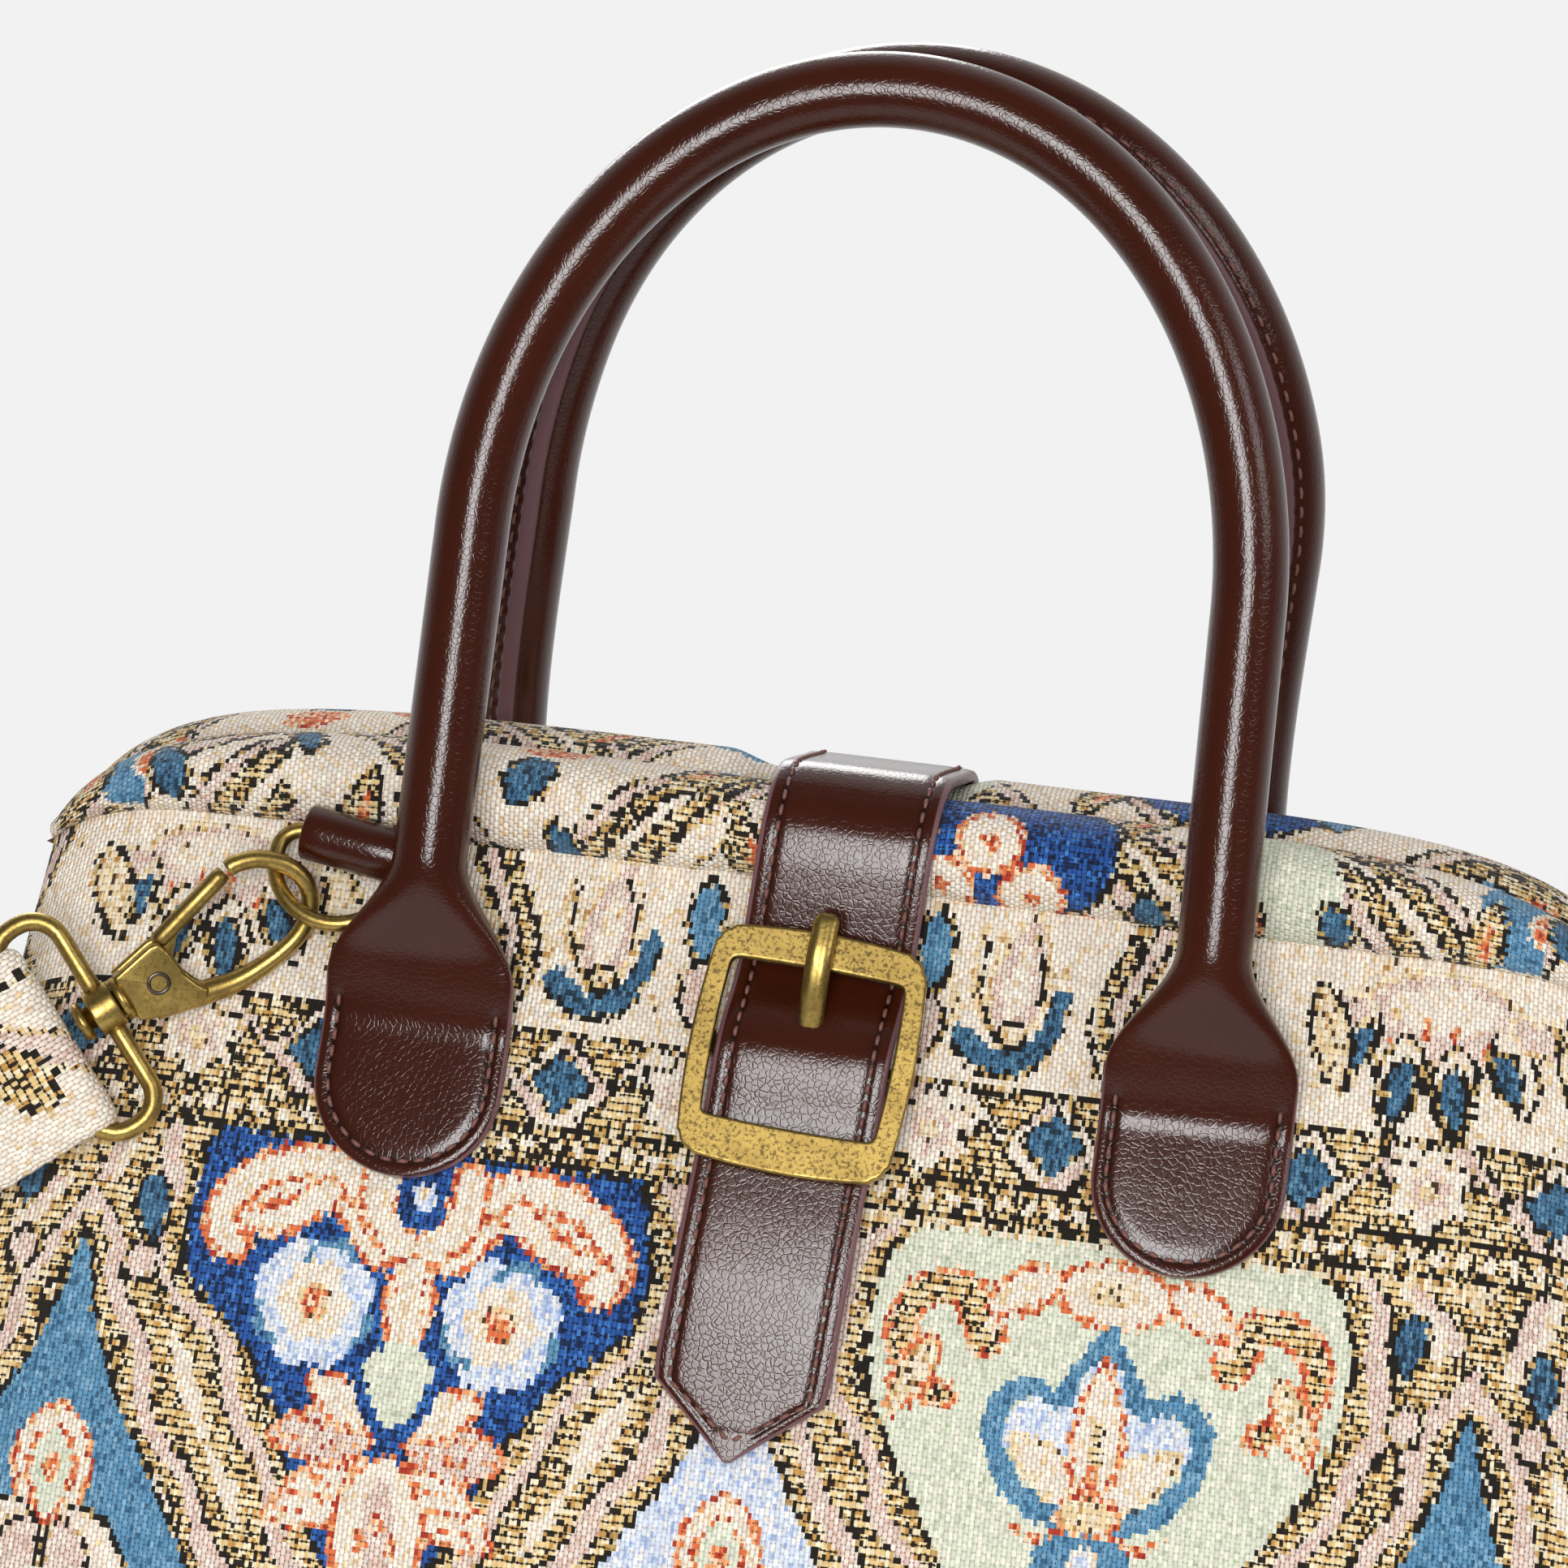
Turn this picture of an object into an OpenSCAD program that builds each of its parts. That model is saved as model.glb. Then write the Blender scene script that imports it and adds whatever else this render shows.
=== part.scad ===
// Small framed carpet bag: tapestry body on a hinged steel frame, two rolled leather
// handles, a buckled closure strap and a clip-on tapestry shoulder strap.
// Millimetres. The origin is the middle of the base, +Z is up and the buckle faces -Y.

/* [Body] */
// Length of the base
base_l = 306; // [290:1:330]
// Depth of the base
base_d = 150; // [130:1:170]
// Height from the floor to the top of the frame casings
body_h = 203; // [195:1:215]
// Thickness of the lined tapestry
wall = 3; // [2:0.25:4]
// How far each end folds inwards below the frame's hinge
pleat = 14; // [4:1:18]
// Radius where the sides turn under the base
base_tuck = 6; // [3:0.5:9]
// Thickness of the stiffening board on the base
board_t = 2.5; // [1.5:0.25:4]

/* [Frame] */
// Length of the frame across both shoulders
frame_l = 286; // [276:1:296]
// Height of the tapestry casing at the middle
casing_h = 17.5; // [16:0.5:20]
// Thickness of one casing, front to back
casing_t = 20; // [18:0.5:23]
// How far the casing falls from its middle to its ends
shoulder_drop = 31; // [28:1:36]
// Width of the steel strip of each bow
bow_w = 8; // [7:0.5:9]
// Thickness of the steel strip
bow_t = 2.4; // [1.6:0.1:3]
// Shank diameter of the hinge rivets
rivet_d = 4; // [3:0.25:5]

/* [Handles] */
// Diameter of the rolled leather
handle_d = 13; // [11:0.5:15]
// Distance between the middles of a handle's two tabs
handle_span = 137; // [125:1:150]
// Height of the handle's middle line above the casings
handle_rise = 123; // [95:1:145]
// How far the top of a handle leans in over the bag
handle_lean = 24; // [12:1:26]
// Width of a sewn tab
tab_w = 33.5; // [28:0.5:38]
// Length of a tab from its round end to the start of the roll
tab_l = 61; // [54:1:66]
// Thickness of a tab where it is sewn down
tab_t = 3.2; // [2.4:0.2:4]

/* [Closure strap] */
// Width of the strap
strap_w = 30.5; // [26:0.5:34]
// Thickness of the strap's two layers
strap_t = 2.6; // [2:0.1:3.2]
// Length from the front casing's seam to the strap's point
strap_reach = 102; // [90:1:120]
// Length of the strap's pointed end
strap_point = 12.5; // [8:0.5:16]
// Sideways run of the strap for each unit of its length
strap_skew = 0.055; // [0:0.005:0.08]
// Thickness of one layer of the chape that holds the buckle
chape_t = 1.3; // [1:0.1:1.6]

/* [Buckle] */
// Outer height of the buckle
buckle_h = 43; // [40:0.5:47]
// Outer width of the buckle at its bowed middle
buckle_w = 39.5; // [38:0.5:46]
// Thickness of the buckle's cast frame
buckle_t = 3; // [2.4:0.2:4]
// Diameter of the middle bar that the prong turns on
bar_d = 2.6; // [2.2:0.1:3]
// Width of the rolled prong
prong_w = 4.6; // [4:0.2:6.4]

/* [Ring and snap hook] */
// Wire diameter of the D-rings
ring_wire = 2.8; // [2.4:0.1:3]
// Inner width of the D-rings
ring_w = 19.8; // [19:0.2:21]
// Outer diameter of the rolled leather loops
loop_d = 9.8; // [8.6:0.2:10.4]
// Width of the leather loops
loop_w = 15; // [12:0.5:15.5]
// Wire diameter of the hook's nose
nose_d = 3.2; // [2.6:0.1:3.4]
// Thickness of the hook's cast body
hook_t = 5.4; // [4.8:0.2:6]
// Diameter of the gate's rivet
gate_rivet_d = 2.4; // [2:0.1:2.8]
// Diameter of the swivel's stem
stem_d = 4.2; // [3.6:0.1:4.6]
// Wire diameter of the swivel's eye
eye_wire = 3.3; // [2.8:0.1:3.5]

/* [Shoulder strap] */
// Width of the tapestry shoulder strap
sling_w = 35.5; // [30:0.5:36]
// Thickness of the shoulder strap
sling_t = 3; // [2:0.25:3.5]

/* [Hidden] */
$fn = 48;

// Gap between soft pieces that are sewn together, and between flat seats
sewn_gap = 0.3;
// Radial clearance of a pin in its hole
pin_gap = 0.05;

tapestry = "#8E8A78";
leather = "#451A10";
brass = "#8F7638";
steel = "#9A9DA0";
board = "#B9A584";

half_frame = frame_l / 2;
// Height of the seam between casing and panel at the middle of the bag
seam_z = body_h - casing_h;
// Half depth of the bag at that seam, just inside the casing's face
seam_y = casing_t - 2;
// How far the seam dips at the ends, and how late it starts to dip
seam_dip = 10;
seam_power = 16;
shoulder_power = 6;
base_t = wall;
panel_z0 = base_t + 0.2;
// Half depth of the bag at its ends, at the frame and at the base
end_y = 10;
corner_y = base_d / 2 - 10;
panel_power = 5;

// Small vector tools
function unit(v) = v / norm(v);
function mix(a, b, t) = a + (b - a) * t;
function clamp01(t) = min(1, max(0, t));
function ease(t) = let (c = clamp01(t)) c * c * (3 - 2 * c);
function turn_x(p, a) = [p.x, p.y * cos(a) - p.z * sin(a), p.y * sin(a) + p.z * cos(a)];
function turn_y(p, a) = [p.x * cos(a) + p.z * sin(a), p.y, p.z * cos(a) - p.x * sin(a)];
function half_turn(p) = [-p.x, -p.y, p.z];
function spow(c, n) = sign(c) * pow(abs(c), 2 / n);

// Smooth curve through points, with steps between each pair
function spline_at(p0, p1, p2, p3, t) =
    0.5 * (2 * p1 + (p2 - p0) * t + (2 * p0 - 5 * p1 + 4 * p2 - p3) * t * t
           + (3 * p1 - p0 - 3 * p2 + p3) * t * t * t);
function spline(pts, steps) = let (n = len(pts)) [
    for (i = [0 : n - 2]) for (k = [0 : steps - 1])
        spline_at(pts[max(0, i - 1)], pts[i], pts[i + 1], pts[min(n - 1, i + 2)], k / steps),
    pts[n - 1]
];
function tangent(path, i) = unit(path[min(len(path) - 1, i + 1)] - path[max(0, i - 1)]);
// Length along a path up to point i
function run(path, i) = i == 0 ? 0 : run(path, i - 1) + norm(path[i] - path[i - 1]);

// Ring of points: a superellipse of half sizes a and b and power n, spanned by e1 and e2
function ring(centre, e1, e2, a, b, n, sides) = [
    for (k = [0 : sides - 1]) let (q = 360 * (k + 0.5) / sides)
        centre + e1 * a * spow(cos(q), n) + e2 * b * spow(sin(q), n)
];

// Solid through a list of flat rings, capped at both ends
module skin(rings) {
    n = len(rings[0]);
    m = len(rings);
    points = [for (r = rings) each r];
    sides = [for (j = [0 : m - 2]) for (i = [0 : n - 1])
        let (a = j * n + i, b = j * n + (i + 1) % n, c = b + n, d = a + n) each [[a, c, b], [a, d, c]]];
    caps = [[for (i = [0 : n - 1]) i], [for (i = [n - 1 : -1 : 0]) (m - 1) * n + i]];
    polyhedron(points, concat(sides, caps), convexity = 10);
}

// Wall between an outer and an inner grid of points with the same rows
module shell(outer, inner) {
    n = len(outer[0]);
    m = len(outer);
    total = n * m;
    points = [for (r = outer) each r, for (r = inner) each r];
    function at(j, i) = j * n + i;
    faces_out = [for (j = [0 : m - 2]) for (i = [0 : n - 2])
        let (a = at(j, i), b = at(j, i + 1), c = at(j + 1, i + 1), d = at(j + 1, i))
            each [[a, c, b], [a, d, c]]];
    faces_in = [for (f = faces_out) [f[2] + total, f[1] + total, f[0] + total]];
    edge = concat([for (i = [0 : n - 1]) at(0, i)], [for (j = [1 : m - 1]) at(j, n - 1)],
                  [for (i = [n - 2 : -1 : 0]) at(m - 1, i)], [for (j = [m - 2 : -1 : 1]) at(j, 0)]);
    count = len(edge);
    rim = [for (k = [0 : count - 1]) let (a = edge[k], b = edge[(k + 1) % count])
        each [[a, b, b + total], [a, b + total, a + total]]];
    polyhedron(points, concat(faces_out, faces_in, rim), convexity = 10);
}

// Wire of diameter d along a path, turned from the reference direction
module wire(path, d, reference, sides) {
    skin([for (i = [0 : len(path) - 1])
        let (t = tangent(path, i), e1 = unit(cross(reference, t)), e2 = cross(t, e1))
            ring(path[i], e1, e2, d / 2, d / 2, 2, sides)]);
}

// The tapestry body: half length and half depth at each height, as fractions of the way up
function seam_at(x) = seam_z - seam_dip * pow(min(1, abs(x) / half_frame), seam_power);
function top_at(x) =
    body_h - shoulder_drop * (1 - sqrt(1 - pow(min(1, abs(x) / half_frame), shoulder_power)));
function tuck(v) = base_tuck * pow(1 - clamp01(v / 0.07), 2);
function half_len(v) = mix(half_frame - 1, base_l / 2, sin(90 * (1 - v))) - tuck(v);
function mid_depth(v) = mix(seam_y, base_d / 2, sin(90 * (1 - v))) - tuck(v);
function end_depth(v) = mix(end_y, corner_y, sin(90 * (1 - v))) - tuck(v);
function panel_point(u, v, t) = [
    u * (half_len(v) - t),
    -mix(end_depth(v), mid_depth(v) - t, sqrt(1 - pow(abs(u), panel_power))),
    mix(panel_z0, seam_at(u * half_frame) - sewn_gap, v)
];
panel_us = [for (k = [-12 : 12]) sin(7.5 * k)];
panel_vs = [0, 0.03, 0.07, 0.14, 0.24, 0.36, 0.48, 0.6, 0.72, 0.82, 0.91, 1];

module panel() {
    shell([for (v = panel_vs) [for (u = panel_us) panel_point(u, v, 0)]],
          [for (v = panel_vs) [for (u = panel_us) panel_point(u, v, wall)]]);
}

// One end: it spans the panels' side edges, folds inwards half way up and closes over the hinge
end_seam_z = seam_z - seam_dip - sewn_gap;
gusset_top = end_seam_z - 1;
gusset_ws = [for (k = [-5 : 5]) k / 5];
function fold_in(j) = pleat * pow(sin(180 * pow(j, 1.4)), 1.6);
function gusset_point(w, j, t) =
    let (z = mix(panel_z0, gusset_top, j), v = (z - panel_z0) / (end_seam_z - panel_z0))
        [half_len(v) - t - fold_in(j) * (1 - pow(abs(w), 1.6)), w * (end_depth(v) - sewn_gap), z];

module gusset() {
    js = [0, 0.03, 0.07, 0.15, 0.27, 0.4, 0.53, 0.66, 0.78, 0.9, 1];
    shell([for (j = js) [for (w = gusset_ws) gusset_point(w, j, 0)]],
          [for (j = js) [for (w = gusset_ws) gusset_point(w, j, wall)]]);
}

function base_outline(inset) = let (k = (base_l / 2 - base_tuck - inset) / (base_l / 2 - base_tuck),
    front = [for (u = panel_us) let (p = panel_point(u, 0, 0)) [p.x * k, p.y + inset * sign(-p.y)]])
        concat(front, [for (p = front) -p]);

// Casing: a padded tapestry sleeve whose section shrinks towards the hinge
casing_y = casing_t / 2 + sewn_gap / 2;
casing_end = 0.985 * half_frame;
casing_xs = [for (k = [-14 : 14]) casing_end * sin(90 * k / 14)];
function casing_ring(x, scale) =
    let (low = seam_at(x), high = top_at(x),
         thick = mix(casing_t, 0.55 * casing_t, pow(abs(x) / half_frame, 6)))
        ring([x, -casing_y, (low + high) / 2], [0, 1, 0], [0, 0, 1],
             scale * thick / 2, scale * (high - low) / 2, 2.6, 16);

module casing() {
    tip = 1.4;
    first = [for (p = casing_ring(-casing_end, 0.45)) p - [tip, 0, 0]];
    last = [for (p = casing_ring(casing_end, 0.45)) p + [tip, 0, 0]];
    skin(concat([first], [for (x = casing_xs) casing_ring(x, 1)], [last]));
}

// Steel bow: a flat strip that follows the casing, with an ear at each end for the hinge
bow_y = 8.5;
bow_inset = 10.5;
bow_top = body_h - 6;
ear_t = 2;
ear_gap = 0.15;
ear_r = 5;
hinge_z = end_seam_z - 5;
bow_foot = body_h - shoulder_drop;
bow_half = half_frame - bow_inset;
function bow_curve(half, top, grow) = [for (k = [-16 : 16]) let (x = half * sin(90 * k / 16))
    [x, mix(bow_foot, top, sqrt(max(0, 1 - pow(abs(x) / half, shoulder_power)))) + grow]];
function bow_outline(half, grow) = concat(
    [[-half - grow, hinge_z - grow]],
    [for (p = bow_curve(half, bow_top, grow)) [p.x + grow * sign(p.x), p.y]],
    [[half + grow, hinge_z - grow], [half - bow_w - grow, hinge_z - grow]],
    [for (p = bow_curve(half - bow_w - grow, bow_top - bow_w, -grow)) [-p.x, p.y]],
    [[-half + bow_w + grow, hinge_z - grow]]);
module bow_strip(half, grow) {
    translate([0, -bow_y + bow_t / 2 + grow, 0]) rotate([90, 0, 0])
        linear_extrude(bow_t + 2 * grow) polygon(bow_outline(half, grow));
}
// Bow whose ears lie just inside the half length given
module bow(half) {
    difference() {
        union() {
            bow_strip(half, 0);
            for (side = [-1, 1]) translate([side * (half - ear_t / 2), 0, hinge_z]) {
                translate([-ear_t / 2, -bow_y - bow_t / 2, -ear_r])
                    cube([ear_t, bow_y + bow_t / 2, 2 * ear_r]);
                rotate([0, 90, 0]) cylinder(h = ear_t, r = ear_r, center = true);
            }
        }
        for (side = [-1, 1]) translate([side * half, 0, hinge_z]) rotate([0, 90, 0])
            cylinder(h = 4 * ear_t, d = rivet_d + 2 * pin_gap, center = true);
    }
}
back_bow_half = bow_half + ear_t + ear_gap;

// Rolled handle. Heights along the tab are measured from its round end
tab_drop = 52.5;
tab_z = seam_z - tab_drop;
panel_lean = atan((mid_depth(0.85) - mid_depth(0.9)) / (0.05 * (seam_z - panel_z0)));
function depth_at(z) = mid_depth((z - panel_z0) / (seam_z - sewn_gap - panel_z0));
neck_z = tab_z + tab_l * cos(panel_lean);
// Length that is sewn down, and how far the neck of the roll stands off the panel's slope
sewn_l = 30;
neck_n = 16;
neck_y = depth_at(neck_z) + neck_n / cos(panel_lean);
function tab_half(s) =
    let (r = tab_w / 2)
        s < r ? sqrt(r * r - (r - s) * (r - s))
              : mix(r, handle_d / 2, pow(ease((s - 0.58 * tab_l) / (0.42 * tab_l)), 1.1));
function tab_thick(s) = mix(tab_t, handle_d, ease((s - 0.66 * tab_l) / (0.34 * tab_l)));
function tab_power(s) = mix(4.5, 2, ease((s - 0.6 * tab_l) / (0.4 * tab_l)));
function tab_y(s) =
    let (lift = ease(pow(clamp01((s - sewn_l) / (tab_l - sewn_l)), 0.6)))
        depth_at(tab_z + s * cos(panel_lean)) + mix(sewn_gap + tab_t / 2, neck_n, lift) / cos(panel_lean);
// Steps along the tab, as shares of its round end and of the rest
tab_ss = concat([for (k = [0.012, 0.07, 0.18, 0.36, 0.6, 1]) k * tab_w / 2],
                [for (k = [0.16, 0.3, 0.38, 0.45, 0.53, 0.61, 0.69, 0.77, 0.85, 0.93])
                    mix(tab_w / 2, tab_l, k)]);
// The roll: straight legs that carry on into half an ellipse, in a plane that leans in
arch_z = body_h + 40;
arch_half = handle_span / 2 - 1;
function lean_y(z) = neck_y - handle_lean * (z - neck_z) / (body_h + handle_rise - neck_z);
leg_zs = [neck_z, mix(neck_z, arch_z, 0.2), mix(neck_z, arch_z, 0.5), mix(neck_z, arch_z, 0.8)];
right_half = concat(
    [for (s = tab_ss) [handle_span / 2, -tab_y(s), tab_z + s * cos(panel_lean), s]],
    [for (z = leg_zs)
        [mix(handle_span / 2, arch_half, (z - neck_z) / (arch_z - neck_z)), -lean_y(z), z, tab_l]],
    [for (q = [0 : 7.5 : 90]) let (z = arch_z + (body_h + handle_rise - arch_z) * sin(q))
        [arch_half * cos(q), -lean_y(z), z, tab_l]]);
handle_path = concat(right_half, [for (i = [len(right_half) - 2 : -1 : 0])
    let (p = right_half[i]) [-p[0], p[1], p[2], p[3]]]);

module handle() {
    line = [for (p = handle_path) [p[0], p[1], p[2]]];
    skin([for (i = [0 : len(line) - 1])
        let (t = tangent(line, i), e1 = unit(cross([0, 1, 0], t)), e2 = cross(t, e1), s = handle_path[i][3])
            ring(line[i], e1, e2, tab_half(s), tab_thick(s) / 2, tab_power(s), 16)]);
}

// Frame on the front panel: X along the bag, Y into it, Z up its slope
module on_panel(z) {
    translate([0, -depth_at(z), z]) rotate([-panel_lean, 0, 0]) children();
}

// Closure strap: its line runs from the back panel over both casings, down the front,
// behind the buckle's top bar, over its middle bar and behind its bottom bar
buckle_drop = 30;
buckle_z = seam_z - buckle_drop * cos(panel_lean);
window_top = 15;
window_low = -13.5;
chape_l = 42;
strap_rest = sewn_gap + strap_t / 2 + 0.2;
bar_n = sewn_gap + chape_t + 0.15 + bar_d / 2;
strap_over_bar = bar_n + bar_d / 2 + 0.15 + chape_t + sewn_gap + strap_t / 2;
strap_over_chape = 2 * sewn_gap + 2 * chape_t + strap_t / 2 + 0.6;
buckle_n = strap_over_chape + strap_t / 2 + sewn_gap;
// Height of the strap's middle above the panel, p along the slope from the buckle's middle
function strap_lift(p) =
    p >= 0 ? mix(strap_rest, strap_over_bar, ease((window_top + 1 - p) / (window_top + 1)))
    : p > -chape_l ? mix(strap_over_bar, strap_over_chape, ease(p / (window_low - 1)))
    : mix(strap_over_chape, strap_rest, ease((-chape_l - p) / 9));
function strap_on_panel(p, lift) =
    let (z = buckle_z + p * cos(panel_lean))
        [0, -depth_at(z) - lift * cos(panel_lean), z + lift * sin(panel_lean)];
casing_mid_z = body_h - casing_h / 2;
over_ry = casing_t / 2 + strap_rest + 0.5;
over_rz = casing_h / 2 + strap_rest + 0.5;
function strap_over_casing(q) =
    [0, -casing_y - over_ry * spow(cos(q), 2.6), casing_mid_z + over_rz * spow(sin(q), 2.6)];
tip_p = buckle_drop - strap_reach;
front_ps = [22, 18, 14, 11, 8, 5, 2, 0, -3, -6, -9, -12, -16, -22, -30, -38, -42, -46, -50, -54];
point_ks = [1, 0.8, 0.6, 0.4, 0.22, 0.08, 0];
back_ps = [-6, 4, 12, 20];
strap_line = concat(
    [for (p = back_ps) half_turn(strap_on_panel(p, strap_rest))],
    [for (q = [0, 20, 40, 55, 70, 90]) half_turn(strap_over_casing(q))],
    [for (q = [90, 70, 55, 40, 20, 0]) strap_over_casing(q)],
    [for (p = front_ps) strap_on_panel(p, strap_lift(p))],
    [for (k = point_ks) strap_on_panel(tip_p + k * strap_point, strap_rest)]);
strap_at_bar = run(strap_line, len(back_ps) + 12 + search(0, front_ps)[0]);
function strap_half(i) =
    let (k = i - (len(strap_line) - len(point_ks)))
        k < 0 ? strap_w / 2 : mix(0.6, strap_w / 2, sin(90 * point_ks[k]));

module closure_strap() {
    color(leather) difference() {
        skin([for (i = [0 : len(strap_line) - 1])
            let (t = tangent(strap_line, i), e2 = cross([1, 0, 0], t),
                 x = strap_skew * (strap_at_bar - run(strap_line, i)))
                ring(strap_line[i] + [x, 0, 0], [1, 0, 0], -e2, strap_half(i), strap_t / 2, 8, 8)]);
        on_panel(buckle_z) turned() translate([-prong_w / 2 - sewn_gap, -20, 1.5])
            cube([prong_w + 2 * sewn_gap, 20, 13]);
    }
}
// The strap and its buckle sit slightly askew on the bag
module turned() {
    rotate([0, atan(strap_skew), 0]) children();
}

// Height of the panel over the plane of the buckle, p along the slope
function panel_sag(p) =
    (depth_at(buckle_z + p * cos(panel_lean)) - depth_at(buckle_z) + p * sin(panel_lean)) * cos(panel_lean);
// Chape: a strip folded round the buckle's middle bar and sewn to the panel
module chape_section() {
    r = bar_d / 2 + 0.15 + chape_t;
    back = sewn_gap + chape_t;
    ps = [for (k = [0 : 6]) -chape_l * k / 6];
    low_ps = [for (k = [0 : 5]) mix(window_low, -chape_l, k / 5)];
    difference() {
        union() {
            translate([bar_n, 0]) circle(r);
            polygon(concat([for (p = ps) [panel_sag(p) + sewn_gap, p]],
                           [for (k = [6 : -1 : 0]) [panel_sag(ps[k]) + back, ps[k]]]));
            polygon(concat([[bar_n, r], [bar_n + r, 0]],
                           [for (p = low_ps) [panel_sag(p) + back + chape_t + 0.2, p]],
                           [for (k = [5 : -1 : 0]) [panel_sag(low_ps[k]) + back + 0.2, low_ps[k]]]));
        }
        translate([bar_n, 0]) circle(d = bar_d + 0.3);
    }
}
module buckle_chape() {
    chape_w = strap_w - 3;
    color(leather) on_panel(buckle_z) turned() difference() {
        translate([-chape_w / 2, 0, 0]) rotate([90, 0, 90]) linear_extrude(chape_w)
            mirror([1, 0]) chape_section();
        translate([-prong_w / 2 - sewn_gap, -20, -bar_d / 2 - chape_t - 2])
            cube([prong_w + 2 * sewn_gap, 24, 12]);
    }
}

// Buckle: a cast frame with bowed sides, and a middle bar between two lugs
side_bow = 1.7;
bar_bow = 1.8;
function bow_radius(half, rise) = (half * half + rise * rise) / (2 * rise);
module buckle_frame() {
    window_w = strap_w + 1;
    side_in = window_w / 2;
    lug_z = 4.4;
    side_r = bow_radius(buckle_h / 2, side_bow);
    cap_r = bow_radius(buckle_w / 2, bar_bow);
    color(brass) on_panel(buckle_z) turned() {
        rotate([90, 0, 0]) translate([0, 0, buckle_n]) linear_extrude(buckle_t) difference() {
            intersection() {
                translate([buckle_w / 2 - side_r, 0]) circle(side_r, $fn = 200);
                translate([side_r - buckle_w / 2, 0]) circle(side_r, $fn = 200);
                translate([0, buckle_h / 2 - cap_r]) circle(cap_r, $fn = 200);
                translate([0, cap_r - buckle_h / 2]) circle(cap_r, $fn = 200);
            }
            translate([-side_in, window_low]) square([window_w, window_top - window_low]);
        }
        for (s = [-1, 1]) translate([s * (side_in + buckle_w / 2 - 0.4) / 2, -buckle_n, 0])
            translate([-(buckle_w / 2 - 0.4 - side_in) / 2, 0, -lug_z / 2])
                cube([buckle_w / 2 - 0.4 - side_in, buckle_n - bar_n + bar_d / 2, lug_z]);
        translate([0, -bar_n, 0]) rotate([0, 90, 0])
            cylinder(h = window_w + 0.4, d = bar_d, center = true);
    }
}

// Prong: rolled sheet round the middle bar, up through the strap and over the top bar
prong_t = 3;
module buckle_prong() {
    over_n = buckle_n + buckle_t + prong_t / 2 + 0.45;
    eye_r = bar_d / 2 + pin_gap + 1.15;
    line = spline([[0, -bar_n - 0.6, 1.9], [0, -mix(bar_n, over_n, 0.4), 6],
                   [0, -mix(bar_n, over_n, 0.8), 11.5], [0, -over_n, 16.5],
                   [0, -over_n - 0.1, buckle_h / 2], [0, -over_n + 0.2, buckle_h / 2 + 3]], 3);
    last = len(line) - 1;
    color(brass) on_panel(buckle_z) turned() difference() {
        union() {
            translate([0, -bar_n, 0]) rotate([0, 90, 0])
                cylinder(h = prong_w - 0.6, r = eye_r, center = true);
            skin([for (i = [0 : last])
                let (t = tangent(line, i), e2 = cross(t, [1, 0, 0]),
                     k = i > last - 3 ? [0.55, 0.85, 0.97][last - i] : 1)
                    ring(line[i], [1, 0, 0], e2, k * prong_w / 2, k * prong_t / 2, 2.3, 12)]);
        }
        translate([0, -bar_n, 0]) rotate([0, 90, 0])
            cylinder(h = 2 * prong_w, d = bar_d + 2 * pin_gap, center = true);
    }
}

// D-ring in its rolled leather loop, sewn into the casing seam beside a handle
hardware_drop = 15.5;
hardware_z = seam_z - hardware_drop;
seam_p = hardware_drop / cos(panel_lean);
ring_x = -handle_span / 2 - 17;
ring_p = seam_p - 2.2;
ring_n = sewn_gap + loop_d / 2 + 0.4;
ring_slant = 9;
ring_swing = 8;
module at_ring() {
    on_panel(hardware_z) translate([ring_x, -ring_n, ring_p])
        rotate([0, ring_slant, 0]) children();
}
module ring_loop() {
    tail = 4.1;
    at_ring() rotate([90, 0, 90]) translate([0, 0, -loop_w / 2]) linear_extrude(loop_w) difference() {
        union() {
            circle(d = loop_d);
            translate([-loop_d / 2 + 3.2, 0]) square([tail, loop_d / 2 - 0.2]);
        }
        circle(d = ring_wire + 2 * pin_gap);
    }
}
module d_ring() {
    half = (ring_w + ring_wire) / 2;
    bend_r = 4;
    bar_half = half - bend_r;
    at_ring() rotate([-ring_swing, 0, 0]) {
        rotate([0, 90, 0]) cylinder(h = 2 * bar_half, d = ring_wire, center = true);
        for (s = [-1, 1]) {
            // Small bend from the bar into the bow
            translate([s * bar_half, 0, -bend_r]) rotate([90, 0, 0]) rotate([0, 0, s > 0 ? 0 : 90])
                rotate_extrude(angle = 90) translate([bend_r, 0]) circle(d = ring_wire);
        }
        translate([0, 0, -bend_r]) rotate([90, 0, 0]) rotate([0, 0, 180])
            rotate_extrude(angle = 180) translate([half, 0]) circle(d = ring_wire);
    }
}

// Snap hook frame: X along the hook from its body to its nose, Y towards the gate, Z outwards
hook_x = ring_x - 34;
hook_p = -17.5;
hook_n = 8;
hook_angle = 40;
hook_roll = 33;
hook_tilt = 2;
// The eye lies flatter than the hook, turned on its stem
eye_roll = 16;
module at_hook(roll = hook_roll) {
    on_panel(hardware_z) translate([hook_x, -hook_n, hook_p]) rotate([0, -hook_angle, 0])
        rotate([90, 0, 0]) rotate([0, hook_tilt, 0]) rotate([roll, 0, 0]) children();
}
// A point of the eye's frame in the bag's frame
function eye_to_bag(p) =
    let (a = turn_x(p, eye_roll), b = turn_y(a, hook_tilt), c = turn_x(b, 90), d = turn_y(c, -hook_angle),
         e = d + [hook_x, -hook_n, hook_p], f = turn_x(e, -panel_lean))
        f + [0, -depth_at(hardware_z), hardware_z];

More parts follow.
